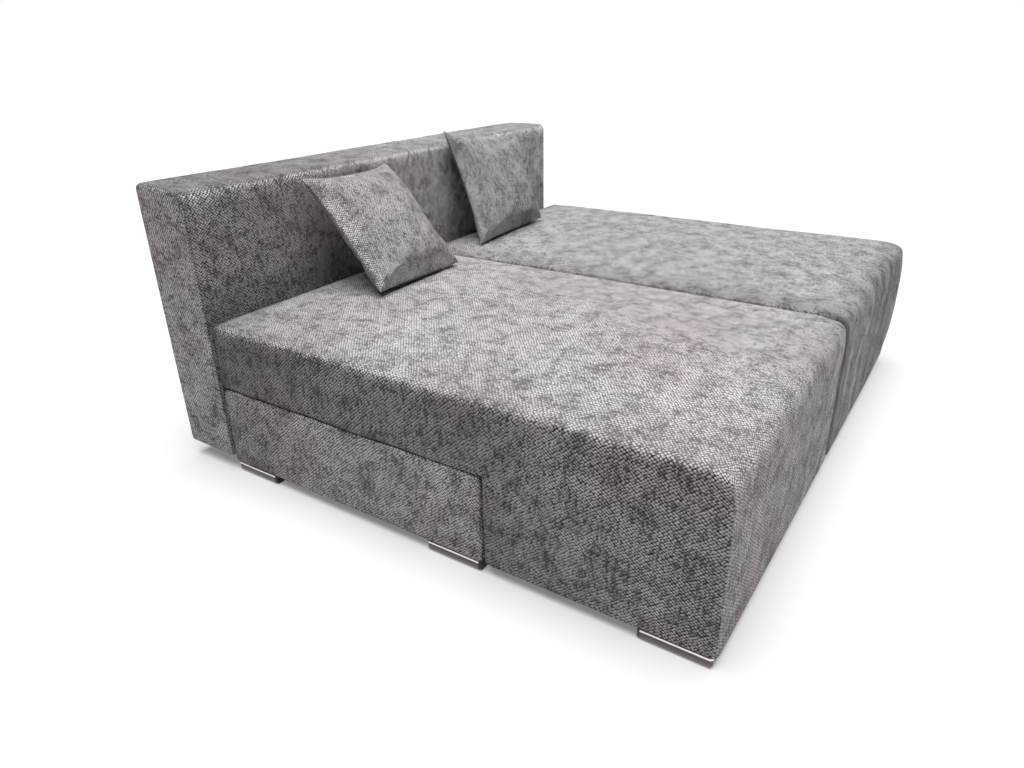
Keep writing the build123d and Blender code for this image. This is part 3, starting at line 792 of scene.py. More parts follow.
def add_wall(shell: Shell, border: Points, out: Points, steps: Sequence[tuple[float, float]],
             axes: Axes, closed: bool = True, along: float = 0.0) -> None:
    """Adds a wall that follows a border through steps of reach and height.

    Args:
        shell: The shell that grows.
        border: Points of the border in the pad's own a and b.
        out: Outward direction at each point.
        steps: How far out, and at what height, for each row of the wall.
        axes: Turns the pad's own coordinates into the row frame.
        closed: Whether the border is a whole ring.
        along: Where the cloth coordinate along the border starts.
    """
    edge = border + out * max(reach for reach, _ in steps)
    joined = np.vstack([edge, edge[:1]]) if closed else edge
    run = np.concatenate([[0.0], np.cumsum(np.linalg.norm(np.diff(joined, axis=0), axis=1))])
    fall = [0.0]
    for before, here in zip(steps, steps[1:]):
        fall.append(fall[-1] + math.dist(before, here))
    own = np.stack([
        np.column_stack([border + out * reach, np.full(len(border), height)])
        for reach, height in steps
    ])
    flat = np.stack([np.column_stack([run + along, np.full(len(run), -f)]) for f in fall])
    beyond = own.copy()
    beyond[..., :2] += out
    shell.grid(axes(own), flat, axes(beyond) - axes(own), closed)


def straight(low: float, high: float, step: float) -> list[float]:
    """Evenly spaced values from high down to low, both left out."""
    count = max(1, math.ceil((high - low) / step))
    return [high - (high - low) * i / count for i in range(1, count)]


def row_frame(own: Points) -> Points:
    """Leaves points as they are, for a pad whose own axes are the row frame's."""
    return own


def no_crown(a: Points, b: Points) -> Points:
    """Leaves a face flat."""
    return np.zeros(np.broadcast(a, b).shape)


# --------------------------------------------------------------------------- seats


@dataclass(frozen=True)
class SeatLook:
    """How one seat's upholstery looks in the photograph.

    The pleats are how far the front's upright folds stand out, and the streaks how strongly the
    painted light and shade on them change its lightness. Top and front are the painted light on
    those panels, and the last is how light the tuft gaps on the top are painted.
    """

    seed: float
    pleats: float
    streaks: float
    top: float
    front: float
    lying: float


# Top and front lightness are painted light; the last value lights the top's tuft gaps.
SEAT_LOOKS = {
    Hand.LEFT: SeatLook(3.7, 3.2 * MM, 0.22, 1.07, 1.08, 0.9),
    Hand.RIGHT: SeatLook(11.3, 6.5 * MM, 0.5, 1.03, 0.86, 0.7),
}


@dataclass
class Seat:
    """One seat: a long crowned slab with a deep front block, in one piece of upholstery."""

    hand: Hand
    finishes: Finishes
    step: float = 13 * MM
    roll: float = 24 * MM
    corner: float = 26 * MM
    rim_band: float = 9 * MM
    crown: float = 18 * MM
    crown_power: float = 2.25
    rear_rise: float = 70 * MM
    hem: float = 5 * MM
    hem_flange: float = 26 * MM
    square: float = 0.6
    edge_bow: float = 4 * MM
    bow_rise: float = 60 * MM
    front_roll: float = 90 * MM
    front_give: float = 0.16
    broad: Wave = Wave((0.21, 0.21, 0.17), 2.2 * MM)
    small: Wave = Wave((0.07, 0.07, 0.07), 0.7 * MM, 5)
    folds: tuple[Wave, Wave] = (Wave((0.062, LONG, 0.7), 1.0, 9),
                                Wave((0.026, LONG, 0.4), 0.5, 17))
    fold_tones: tuple[Wave, Wave] = (Wave((0.045, LONG, 0.6), 1.0, 5.3),
                                     Wave((0.017, LONG, 0.35), 0.6, 7.7))
    fold_rise: float = 120 * MM
    side_belly: float = 2 * MM
    slab_belly: float = 0.3
    floor_hold: float = 40 * MM
    edge_hold: float = 30 * MM
    between_seats: float = 90 * MM
    lip: Wave = Wave((LONG, 0.09, LONG), 3 * MM, 21)
    lip_rise: float = 70 * MM
    lip_span: tuple[float, float] = (-1 * MM, 2.5 * MM)
    lip_out: float = 1.5 * MM

    def __post_init__(self) -> None:
        """Reads the seat's measures from its nodes."""
        name = self.hand.value
        self.look = SEAT_LOOKS[self.hand]
        self.low, self.high = (np.array(v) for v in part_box(f"{name}_seat_cover"))
        self.slab_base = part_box(f"{name}_seat_frame")[0].z
        block_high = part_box(f"{name}_block_wadding")[1]
        self.block_rear = block_high.y + (self.high[0] - block_high.x)
        self.edge_top = self.high[2] - self.crown

    def _lines(self) -> Iterator[Points]:
        """Grid lines across the width, the block's length and the rest of the length."""
        bands = (max(self.corner - self.roll, LEAST), self.rim_band)
        for low, high in ((self.low[0] + self.roll, self.high[0]),
                          (self.low[1] + self.roll, self.block_rear),
                          (self.block_rear - self.roll, self.high[1])):
            yield lines(low, high - self.roll, self.step, bands)

    def _crown(self, x: Points, y: Points) -> Points:
        """Height of the crown above the rolled rim."""
        half = (self.high[0] - self.low[0]) / 2 - self.roll
        in_x = (np.minimum(x - self.low[0], self.high[0] - x) - self.roll) / half
        in_y = np.minimum((y - self.low[1] - self.roll) / half,
                          (self.high[1] - self.roll - y) / self.rear_rise)
        rise = [1 - (1 - np.clip(d, 0, 1)) ** self.crown_power for d in (in_x, in_y)]
        return self.crown * rise[0] * rise[1]

    def _shape(self) -> Shell:
        """Puts the slab's face, its walls and the block's walls together."""
        shell = Shell()
        across, block, rest = self._lines()
        slab = Pad(across, np.concatenate([block, rest[1:]]), self.roll,
                   (self.corner, self.corner), self.edge_top, self.square)
        add_face(shell, slab, row_frame, self._crown)
        border, out = slab.border()
        rim = slab.rim_steps()
        split = self.slab_base + self.hem
        upper = rim + [(self.roll, z) for z in straight(split, rim[-1][1], self.step)]
        add_wall(shell, border, out, upper + [(self.roll, split)], row_frame)
        turns = [math.radians(30 * i) for i in range(1, 4)]
        under = [(self.roll - self.hem * (1 - math.cos(t)), split - self.hem * math.sin(t))
                 for t in turns]
        flange = [(self.roll - self.hem_flange, self.slab_base)]
        rear = np.nonzero(border[:, 1] >= self.block_rear - self.roll - TINY)[0]
        add_wall(shell, border[rear], out[rear], [(self.roll, split)] + under + flange,
                 row_frame, closed=False)
        foot = Pad(across, block, self.roll, (self.corner, self.corner), split, self.square)
        border, out = foot.border()
        low = self.low[2]
        down = [(self.roll, z) for z in (split, *straight(low + self.hem, split, self.step),
                                         low + self.hem)]
        down += [(r, z - self.slab_base + low) for r, z in under]
        down.append((self.roll - self.hem_flange, low))
        add_wall(shell, border, out, down, row_frame)
        return shell

    def _share_up(self, z: Points) -> Points:
        """How far up the seat heights are, from 0 to 1."""
        return np.clip((z - self.low[2]) / (self.high[2] - self.low[2]), 0, 1)

    def _apart(self, x: Points) -> Points:
        """0 on the side that touches the other seat, and 1 away from it."""
        inner = self.high[0] - x if self.hand is Hand.LEFT else x - self.low[0]
        return smooth(0.0, self.between_seats, inner)

    def _waves(self, points: Points, normals: Points) -> Points:
        """How far the cloth stands out in soft waves, upright front folds and bellied sides.

        Args:
            points: The seat's points.
            normals: Their directions.

        Returns:
            The distance along each point's direction.
        """
        x, y, z = points.T
        on_slab = y > self.block_rear
        waves = self.broad.at(points, self.look.seed) + self.small.at(points, self.look.seed)
        folds = sum(wave.at(points, self.look.seed) for wave in self.folds)
        tall = smooth(self.low[2], self.low[2] + self.fold_rise, z)
        waves += smooth(-0.25, -0.8, normals[:, 1]) * folds * tall * self.look.pleats
        belly = np.where(y < self.block_rear, np.sin(self._share_up(z) * math.pi), self.slab_belly)
        waves += smooth(0.5, 0.95, np.abs(normals[:, 0])) * belly * self.side_belly
        hold = smooth(self.low[2], self.low[2] + self.floor_hold, z)
        low_edge = smooth(self.slab_base, self.slab_base + self.edge_hold, z)
        waves *= np.where(on_slab, low_edge, hold)
        return waves * (self._apart(x) * (1 - smooth(0.3, 0.8, normals[:, 1]) * on_slab))

    def _ease(self, obj: bpy.types.Object) -> None:
        """Gives the upholstery its bowed edges, soft waves and upright front folds."""
        points, normals = read_points(obj), read_normals(obj)
        x, y, z = points.T
        apart = self._apart(x)
        mid_x, mid_y = ((2 * value - self.low[i] - self.high[i]) / (self.high[i] - self.low[i])
                        for i, value in ((0, x), (1, y)))
        bow = (1 - mid_x ** 2) * 0.5 + (1 - mid_y ** 2) * 0.5 - 0.75
        lift = self.edge_bow * bow * smooth(self.slab_base + self.bow_rise, self.edge_top, z)
        points += normals * self._waves(points, normals)[:, None]
        points[:, 2] += lift
        ahead = np.clip(1 - (points[:, 1] - self.low[1]) / self.front_roll, 0, 1)
        below = np.clip(1 - (self.edge_top - points[:, 2]) / self.front_roll, 0, 1)
        give = self.front_roll * self.front_give * (ahead * below) ** 2
        points[:, 2] -= give
        points[:, 1] += give
        lip = self.lip.at(points, self.look.seed)
        sides = smooth(0.5, 0.95, np.abs(normals[:, 0]))
        overlap = (y > self.block_rear) * smooth(self.slab_base + self.lip_rise, self.slab_base, z)
        overlap *= sides
        points[:, 2] -= overlap * np.clip(lip, *self.lip_span)
        points[:, 0] += (apart * overlap * np.sign(normals[:, 0])
                         * (self.lip_out + lip * 0.5))
        if self.hand is Hand.RIGHT:
            self._swell(points, normals)
        write_points(obj, points)

    def _swell(self, points: Points, normals: Points) -> None:
        """Lets the far seat's outer front edge belly out and tuck in at the floor.

        Args:
            points: The seat's points, moved in place.
            normals: Their directions.
        """
        height = self._share_up(points[:, 2])
        right = smooth(self.high[0] - 0.35, self.high[0], points[:, 0])
        ahead = smooth(self.low[1] + 0.45, self.low[1], points[:, 1])
        belly = np.sin(np.clip(height * 1.05, 0, 1) * math.pi) * 28 * MM
        belly += height ** 3 * 17 * MM - (1 - height) ** 4 * 7 * MM
        points[:, 0] += belly * right * ahead * smooth(0.0, 0.9, normals[:, 0])
        points[:, 1] -= belly * 0.5 * right * smooth(0.0, 0.9, -normals[:, 1])

    def _streaks(self, points: Points) -> Points:
        """Painted light and shade over the seat, as the photograph shows it: pleats, rims, rear
        edge and seam.

        Args:
            points: The seat's points.

        Returns:
            A factor for the painted lightness at each point.
        """
        x, y, z = points.T
        # Painted light and shade along the front's upright pleats.
        depth = smooth(self.low[1] + 0.12, self.low[1], y) * smooth(
            self.high[2] + 10 * MM, self.edge_top - 40 * MM, z)
        folds = sum(wave.at(points) for wave in self.fold_tones)
        streaks = 1 + self.look.streaks * folds * depth
        upper = smooth(self.edge_top - 60 * MM, self.edge_top, z)
        ahead = smooth(self.low[1] + 0.1, self.low[1] + 10 * MM, y)
        # Painted shade: left seat towards the rear of its outer half and on its outer and front
        # rims; right seat beside the other seat and on its front rim.
        if self.hand is Hand.LEFT:
            corner = smooth(self.high[1] - 0.6, self.high[1] - 0.1, y)
            streaks *= 1 - 0.2 * corner * smooth(-0.15, -0.7, x)
            outer = smooth(self.low[0] + 0.2, self.low[0] + 30 * MM, x)
            streaks *= 1 - 0.13 * upper * np.maximum(outer, ahead)
        else:
            inner = x - self.low[0]
            streaks *= 0.74 + 0.26 * smooth(0.0, 0.16, inner)
            streaks *= 1 - 0.25 * depth * smooth(70 * MM, 0.0, inner)
            streaks *= 1 - 0.3 * upper * ahead
        # Painted shade along the rear edge, under the backrest.
        streaks *= 1 - 0.3 * smooth(self.high[1] - 60 * MM, self.high[1] - 15 * MM, y)
        # Darker below the top edge towards the block's rear end.
        upright = smooth(self.edge_top, self.edge_top - 40 * MM, z)
        return streaks * (1 - 0.2 * upright * smooth(self.block_rear - 0.3, self.block_rear, y))

    def build(self) -> bpy.types.Object:
        """Returns:
            The upholstery.
        """
        name = self.hand.value
        obj = self._shape().mesh(f"{name}_seat_upholstery")
        self._ease(obj)
        # Painted light by the way each panel faces: lighter top and front, darker sides, lit tuft
        # gaps on top and shaded ones on the sides.
        paint_panel_light(obj, [(UP, self.look.top, self.look.lying), (FRONT, self.look.front, 0.9),
                    (REAR, 1.0, 0.5), (LEFT, 0.84, 0.03), (RIGHT, 0.84, 0.03), (DOWN, 0.9, 0.5)],
              self._streaks(read_points(obj)))
        self.finishes.dress(obj, "chenille")
        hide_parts(*(f"{name}_{node}" for node in
                           ("seat_cover", "seat_foam", "slab_wadding", "block_wadding")))
        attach(obj, f"{name}_seat")
        return obj


# --------------------------------------------------------------------------- base pads


@dataclass
class BasePad:
    """The padded outer side of one storage base."""

    hand: Hand
    finishes: Finishes
    step: float = 12 * MM
    roll: float = 6 * MM
    top_corner: float = 30 * MM
    front_corner: float = 14 * MM
    bottom_corner: float = 8 * MM
    belly: float = 3 * MM
    front_return: float = 38 * MM
    rear_return: float = 68 * MM
    return_gap: float = 0.6 * MM
    thin: float = 1.2 * MM
    belly_rise: float = 60 * MM
    broad: Wave = Wave((9.0, 0.16, 0.12), 1.6 * MM)
    slanted: Wave = Wave((9.0, 0.045, 0.3), 2.4 * MM, 4)
    crushed: Wave = Wave((9.0, 0.05, 0.3), 0.22, 6)
    slope: float = 0.9
    sag: Wave = Wave((9.0, 0.13, 9.0), 2.6 * MM, 8)
    sag_span: tuple[float, float] = (-3 * MM, 1.2 * MM)
    sag_rise: float = 30 * MM

    def build(self) -> bpy.types.Object:
        """Returns:
            The pad.
        """
        name = self.hand.value
        low, high = (np.array(v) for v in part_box(f"{name}_base_pad"))
        facing = -1.0 if self.hand is Hand.LEFT else 1.0
        back = high[0] if facing < 0 else low[0]
        depth = high[0] - low[0]
        bands = (self.bottom_corner - self.roll, self.top_corner - self.roll)
        pad = Pad(lines(low[1] + self.roll, high[1] - self.roll, self.step, bands),
                  lines(low[2] + self.roll, high[2] - self.roll, self.step, bands),
                  self.roll, (self.bottom_corner, self.top_corner), depth,
                  odd_corner=self.front_corner)

        def axes(own: Points) -> Points:
            return np.stack([back + facing * own[..., 2], own[..., 0], own[..., 1]], axis=-1)

        def crown(a: Points, b: Points) -> Points:
            rise = np.minimum(np.minimum(a - low[1], high[1] - a),
                              np.minimum(b - low[2], high[2] - b))
            return self.belly * smooth(self.roll, self.belly_rise, rise)

        shell = Shell()
        add_face(shell, pad, axes, crown)
        border, out = pad.border()
        add_wall(shell, border, out, pad.rim_steps() + [(self.roll, 0.0)], axes)
        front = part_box(f"{name}_base_front_panel")[0].y - self.return_gap
        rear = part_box(f"{name}_base_rear_panel")[1].y + self.return_gap
        self._turn_in(shell, (back, back - facing * self.front_return), (front, -1.0), low, high)
        self._turn_in(shell, (back, back - facing * self.rear_return), (rear, 1.0), low, high)
        obj = shell.mesh(f"{name}_base_side_pad")
        points, normals = read_points(obj), read_normals(obj)
        seed = 23.1 if self.hand is Hand.LEFT else 31.9
        waves = self.broad.at(points, seed)
        slant = points.copy()
        slant[:, 1] += points[:, 2] * self.slope
        near_rear = smooth(high[1] - 0.36, high[1] - 0.05, points[:, 1])
        waves += near_rear * self.slanted.at(slant, seed)
        outer = smooth(0.3, 0.9, normals[:, 0] * facing)
        points += normals * (waves * outer)[:, None]
        edge = smooth(high[2] - self.sag_rise, high[2], points[:, 2])
        points[:, 2] += edge * np.clip(self.sag.at(points, seed), *self.sag_span)
        write_points(obj, points)
        # Painted shade towards the rear, streaked along the slanted wrinkles, and painted light on
        # the outer panel.
        crushed = 1 + near_rear * (self.crushed.at(slant, seed) - 0.26)
        paint_panel_light(obj, [(LEFT, 1.07, 0.04), (RIGHT, 1.07, 0.04)], crushed)
        self.finishes.dress(obj, "chenille")
        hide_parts(f"{name}_base_pad")
        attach(obj, "base")
        return obj

    def _turn_in(self, shell: Shell, ends: tuple[float, float], edge: tuple[float, float],
                 low: Points, high: Points) -> None:
        """Turns the pad's cloth in over an edge of the base.

        Args:
            shell: The pad's shell, which grows.
            ends: Where the strip starts and stops along X.
            edge: Where the edge is along Y, and which way it faces.
            low: The pad's lowest corner.
            high: Its highest corner.
        """
        place, way = edge
        strip = Pad(lines(min(ends), max(ends), self.step, (1 * MM,)),
                    lines(low[2] + 2 * MM, high[2] - 20 * MM, self.step, (1 * MM,)),
                    self.thin, (self.thin, self.thin), self.thin)

        def axes(own: Points) -> Points:
            return np.stack([own[..., 0], place + way * own[..., 2], own[..., 1]], axis=-1)

        add_face(shell, strip, axes, no_crown)
        border, out = strip.border()
        add_wall(shell, border, out, strip.rim_steps(2), axes)


# --------------------------------------------------------------------------- backrest


@dataclass
class Backrest:
    """The backrest: one cloth wraps front, top and rear, and end panels are sewn into it."""

    finishes: Finishes
    step: float = 14 * MM
    roll: float = 7 * MM
    corner: float = 24 * MM
    foot_corner: float = 8 * MM
    wrap_under: float = 3 * MM
    seam_depth: float = 2.0 * MM
    left_rise: float = 15 * MM
    seam_width: float = 2.2 * MM
    seam_place: float = 0.6
    seam_shade: float = 0.45
    end_belly: float = 4 * MM
    broad: Wave = Wave((0.26, 0.26, 0.2), 2.4 * MM, 41)
    small: Wave = Wave((0.08, 0.08, 0.08), 0.8 * MM, 47)
    edge_hold: float = 30 * MM
    floor_hold: float = 60 * MM

    def build(self) -> bpy.types.Object:
        """Returns:
            The upholstery.
        """
        low, high = (np.array(v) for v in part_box("backrest_cover"))
        low[2] -= self.wrap_under
        middle, half = (low[0] + high[0]) / 2, (high[0] - low[0]) / 2
        inner = self.corner - self.roll
        pad = Pad(lines(low[1] + self.roll, high[1] - self.roll, self.step, (inner,)),
                  lines(low[2] + self.roll, high[2] - self.roll, self.step, (inner,)),
                  self.roll, (self.foot_corner, self.corner), half)
        shell = Shell()
        border, out = pad.border()
        for facing in (-1.0, 1.0):

            def axes(own: Points, facing: float = facing) -> Points:
                return np.stack([middle + facing * own[..., 2], own[..., 0], own[..., 1]], axis=-1)

            add_face(shell, pad, axes, no_crown)
            steps = pad.rim_steps()
            steps += [(self.roll, c) for c in straight(0.0, steps[-1][1], self.step)]
            steps.append((self.roll, 0.0))
            add_wall(shell, border, out, steps, axes)
        obj = shell.mesh("backrest_upholstery")
        self._turn_cloth(obj)
        points, normals = read_points(obj), read_normals(obj)
        from_end = half - np.abs(points[:, 0] - middle)
        groove = np.exp(-((from_end - self.roll * self.seam_place) / self.seam_width) ** 2)
        rise = np.clip((points[:, 2] - low[2]) / (high[2] - low[2]), 0, 1)
        across = np.clip((points[:, 1] - low[1]) / (high[1] - low[1]), 0, 1)
        belly = self.end_belly * (4 * rise * (1 - rise)) * (4 * across * (1 - across))
        ends = smooth(0.6, 0.95, np.abs(normals[:, 0]))
        waves = self.broad.at(points) + self.small.at(points)
        waves *= smooth(0.0, self.edge_hold, from_end)
        waves *= smooth(low[2], low[2] + self.floor_hold, points[:, 2])
        pressed = smooth(0.3, 0.8, -normals[:, 1]) * smooth(0.6, 0.49, points[:, 2])
        waves *= 1 - pressed
        points += normals * (waves + ends * belly - groove * self.seam_depth)[:, None]
        leftward = np.clip((high[0] - points[:, 0]) / (high[0] - low[0]), 0, 1)
        points[:, 2] += self.left_rise * leftward * across * smooth(0.6, 1.0, rise)
        write_points(obj, points)
        # Painted shade in the seam groove, lighter to the right and darker to the left, a painted
        # highlight on the front's top roll, painted shade low on the front, and painted light by
        # the way each panel faces.
        painted_light_and_shade = 1 - self.seam_shade * groove
        painted_light_and_shade *= 1.42 - 0.5 * smooth(middle + 0.2, low[0] + 0.2, points[:, 0])
        ahead = smooth(0.5, 0.9, -normals[:, 1])
        painted_light_and_shade *= 1 + 0.35 * ahead * smooth(high[2] - 60 * MM, high[2] - 12 * MM, points[:, 2])
        painted_light_and_shade *= 1 - 0.28 * ahead * smooth(0.63, 0.5, points[:, 2])
        paint_panel_light(obj, [(UP, 0.66, 0.5), (FRONT, 1.02, 0.0), (REAR, 0.88, 0.1), (LEFT, 1.18, 0.2),
                    (RIGHT, 1.3, 0.2), (DOWN, 0.9, 0.5)], painted_light_and_shade)
        self.finishes.dress(obj, "chenille")
        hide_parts("backrest_cover", "backrest_foam")
        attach(obj, "base")
        return obj

    def _turn_cloth(self, obj: bpy.types.Object) -> None:
        """Swaps the cloth's two coordinates, so that its length runs upwards."""
        layer = obj.data.uv_layers[CLOTH_UV].data
        layer.foreach_set("uv", read(layer, "uv", 2)[:, ::-1].ravel())


# --------------------------------------------------------------------------- cushions


@dataclass(frozen=True)
class Stuffing:
    """How one cushion is filled and how it sits, from the photograph.

    The slide is how far its soft cover settles along X and Z from where its solid rests, the
    lump seed makes its filling its own, and the lightness is painted light on its whole cover.
    """

    yaw: float
    lean: float
    thickness: float
    slide: tuple[float, float, float]
    lump_seed: float
    lightness: float


class Filling(Enum):
    """The two cushions' fillings."""

    LEFT = Stuffing(7.0, 41.9, 150 * MM, (0.006, 0.0, 0.011), 2.3, 1.12)
    RIGHT = Stuffing(-2.0, 25.0, 130 * MM, (0.001, 0.0, 0.006), 8.9, 1.03)


# How the panels' cloth behaves while the filling presses it out.
PANEL_CLOTH = {"quality": 6, "mass": 0.25, "tension_stiffness": 22,
               "compression_stiffness": 12, "shear_stiffness": 8, "bending_stiffness": 0.2,
               "use_pressure": True}


@dataclass
class Cushion:
    """A loose cushion: two square panels sewn edge to edge and blown up by their filling.

    The finer weave draws the tufts closer together than on the seats.
    """

    hand: Hand
    finishes: Finishes
    cut: float = 0.45
    parts: int = 50
    start_gap: float = 16 * MM
    start_share: float = 0.8
    drawn_in: float = 0.04
    pressure: float = 4.0
    frames: int = 20
    most_move: float = 24 * MM
    rest_gap: float = 1.5 * MM
    seam_lift: float = 6 * MM
    finer_weave: float = 1.2
    bulge_power: tuple[float, float] = (2.2, 0.58)
    lumps: Wave = Wave((0.12, 0.12, 0.12), 0.12)
    lower_share: float = 0.15
    seam_crease: float = 0.9
    press_ease: float = 6 * MM
    seam_shade: float = 0.28

    def __post_init__(self) -> None:
        """Reads how this cushion is filled."""
        self.filling = Filling[self.hand.name].value

    def _corners(self) -> tuple[Points, Points]:
        """Reads the seam's four corners from the cushion's node.

        Returns:
            The corners from the top left round to the bottom left, and the way out of the
            front.
        """
        yaw, lean = math.radians(self.filling.yaw), math.radians(self.filling.lean)
        along = np.array([math.cos(yaw), math.sin(yaw), 0.0])
        back = np.array([-math.sin(yaw), math.cos(yaw), 0.0])
        up = back * math.sin(lean) + np.array([0.0, 0.0, math.cos(lean)])
        points = read_points(bpy.data.objects[f"{self.hand.value}_cushion_cover"])
        picks = [points[np.argmax(points @ (along * s + up * t))]
                 for s, t in CORNERS]
        return np.array(picks) + np.array(self.filling.slide), np.cross(along, up)

    def _panels(self) -> bpy.types.Object:
        """Lays the two panels on each other, a little apart and sewn round the edge."""
        share = np.sin(np.linspace(-1, 1, self.parts + 1) * math.pi / 2) * 0.35
        share += np.linspace(-1, 1, self.parts + 1) * 0.65
        u, v = np.meshgrid(share, share, indexing="ij")
        gap = ((1 - u ** 2) * (1 - v ** 2)) ** 0.7 * self.start_gap
        shell = Shell()
        for facing in (1.0, -1.0):
            place = np.stack([u * self.cut / 2, v * self.cut / 2, gap * facing], axis=-1)
            flat = place[..., :2] * self.finer_weave + np.array([0.0, facing])
            shell.grid(place, flat, np.broadcast_to([0.0, 0.0, facing], place.shape))
        obj = shell.mesh(f"{self.hand.value}_cushion_panels")
        self.seam = np.abs(read_points(obj)[:, 2]) < 0.001 * MM
        return obj

    def _blow_up(self, obj: bpy.types.Object) -> None:
        """Lets the filling press the panels out, as cloth under pressure.

        Args:
            obj: The two sewn panels; it keeps the blown up shape and no modifier.
        """
        cloth = obj.modifiers.new("filled", "CLOTH")
        for name, value in PANEL_CLOTH.items():
            setattr(cloth.settings, name, value)
        cloth.settings.uniform_pressure_force = self.pressure
        cloth.settings.effector_weights.gravity = 0.0
        cloth.collision_settings.use_collision = False
        cloth.point_cache.frame_start = 1
        cloth.point_cache.frame_end = self.frames
        scene = bpy.context.scene
        for frame in range(1, self.frames + 1):
            scene.frame_set(frame)
        seen = obj.evaluated_get(bpy.context.evaluated_depsgraph_get())
        moves = read_points(seen) - read_points(obj)
        obj.modifiers.remove(cloth)
        scene.frame_set(1)
        size = np.maximum(np.linalg.norm(moves, axis=1, keepdims=True), TINY)
        capped = moves / size * self.most_move * np.tanh(size / self.most_move)
        write_points(obj, read_points(obj) + capped)

    def _plump(self, obj: bpy.types.Object) -> None:
        """Shapes the panels roughly as the filling lifts them and draws their sides in."""
        points = read_points(obj)
        u, v = points[:, 0] * 2 / self.cut, points[:, 1] * 2 / self.cut
        steep, full = self.bulge_power
        bulge = (np.clip(1 - np.abs(u) ** steep, 0, 1)
                 * np.clip(1 - np.abs(v) ** steep, 0, 1)) ** full
        lumps = 1 + self.lumps.at(points * [1, 1, 0], self.filling.lump_seed)
        height = self.filling.thickness / 2 * self.start_share * bulge * lumps
        points[:, 2] = np.sign(points[:, 2]) * height
        points[:, 0] *= 1 - self.drawn_in * (1 - v ** 2)
        share = np.where(v < 0, self.lower_share, 1.0)
        points[:, 1] *= 1 - self.drawn_in * share * (1 - u ** 2)
        write_points(obj, points)

    def _settle(self, obj: bpy.types.Object, seat: bpy.types.Object) -> None:
        """Carries the flat-lying cushion to its place and lets its lower seam down on the seat.

        Args:
            obj: The cushion, lying flat round the origin.
            seat: The seat's upholstery that carries it.
        """
        points = read_points(obj)
        corners, front = self._corners()
        ears = np.array([points[np.argmax(points[:, 0] * s + points[:, 1] * t)]
                         for s, t in CORNERS])
        half = np.abs(ears[:, :2]).mean(axis=0)
        u, v = points[:, 0] / half[0], points[:, 1] / half[1]
        deep = points[:, 2].max() - points[:, 2].min()
        out = points[:, 2] * (self.filling.thickness / deep)
        weights = np.stack([(1 + s * u) * (1 + t * v) for s, t in CORNERS], axis=-1) / 4
        placed = weights @ corners + out[:, None] * front
        top = seat_heights(seat)
        low = np.nonzero(self.seam & (v < -0.8) & (np.abs(u) < 0.7))[0]
        gaps = [placed[i, 2] - top(placed[i, 0], placed[i, 1]) for i in low]
        drop = max(0.0, float(np.mean(gaps)) - self.seam_lift)
        across = np.clip(1 - np.abs(u) ** 3, 0, 1)
        placed[:, 2] -= drop * across * smooth(0.1, -0.9, v)
        write_points(obj, placed)

    def _hold_seam(self, obj: bpy.types.Object) -> None:
        """Keeps the sewn edge and its four ears crisp while the panels are smoothed."""
        ends = read(obj.data.edges, "vertices", 2, np.int32)
        sewn = self.seam[ends[:, 0]] & self.seam[ends[:, 1]]
        write_values(obj, "crease_edge", "EDGE", sewn * self.seam_crease)
        write_values(obj, SEAM, "POINT", self.seam)
        points = read_points(obj)
        ears = np.zeros(len(points))
        for side_x, side_y in CORNERS:
            ears[np.argmax(points[:, 0] * side_x + points[:, 1] * side_y)] = 1.0
        write_values(obj, "crease_vert", "POINT", ears)

    def _rest(self, obj: bpy.types.Object, seat: bpy.types.Object) -> None:
        """Presses the cushion flat where it meets the seat and the backrest.

        Args:
            obj: The cushion in its place.
            seat: The seat's upholstery that carries it.
        """
        points = read_points(obj)
        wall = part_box("backrest_cover")[0].y - self.rest_gap
        points[:, 1] = wall - soft_floor(wall - points[:, 1], self.press_ease)
        top = seat_heights(seat)
        ground = np.array([top(x, y) for x, y in points[:, :2]]) + self.rest_gap
        points[:, 2] = ground + soft_floor(points[:, 2] - ground, self.press_ease)
        write_points(obj, points)

    def build(self, seat: bpy.types.Object) -> bpy.types.Object:
        """Args:
            seat: The upholstery that carries it.

        Returns:
            The cushion.
        """
        name = self.hand.value
        obj = self._panels()
        self._plump(obj)
        self._blow_up(obj)
        self._hold_seam(obj)
        self._settle(obj, seat)
        finer = obj.modifiers.new("finer", "SUBSURF")
        finer.levels = finer.render_levels = 1
        finer.uv_smooth = "NONE"
        plain = bpy.data.meshes.new_from_object(
            obj.evaluated_get(bpy.context.evaluated_depsgraph_get()))
        obj.modifiers.clear()
        obj.data = plain
        self._rest(obj, seat)
        # Painted light over the whole cover, and painted shade along the seam.
        paint_panel_light(obj, [(UP, self.filling.lightness, 0.5)], 1 - self.seam_shade * read_seam(obj))
        self.finishes.dress(obj, "chenille")
        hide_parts(f"{name}_cushion_cover", f"{name}_cushion_filling")
        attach(obj, f"{name}_cushion")
        return obj


# --------------------------------------------------------------------------- hidden cloths


@dataclass(frozen=True)
class Cloth:
    """A flat cloth inside a seat: which node it stands for and how it is held there."""

    node: str
    slot: str
    held: str
    carrier: str
    facing: tuple[float, float, float]
    sag: float
    wrinkle: float


class HiddenCloth(Enum):
    """The cloths under and inside each seat."""

    DUST_COVER = Cloth("dust_cover", "dust_cloth", "stretched", "seat_frame", DOWN, 1.6 * MM,
                       0.5 * MM)
    FELT = Cloth("seat_felt", "felt", "laid", "seat_springs", UP, 0.0, 0.3 * MM)


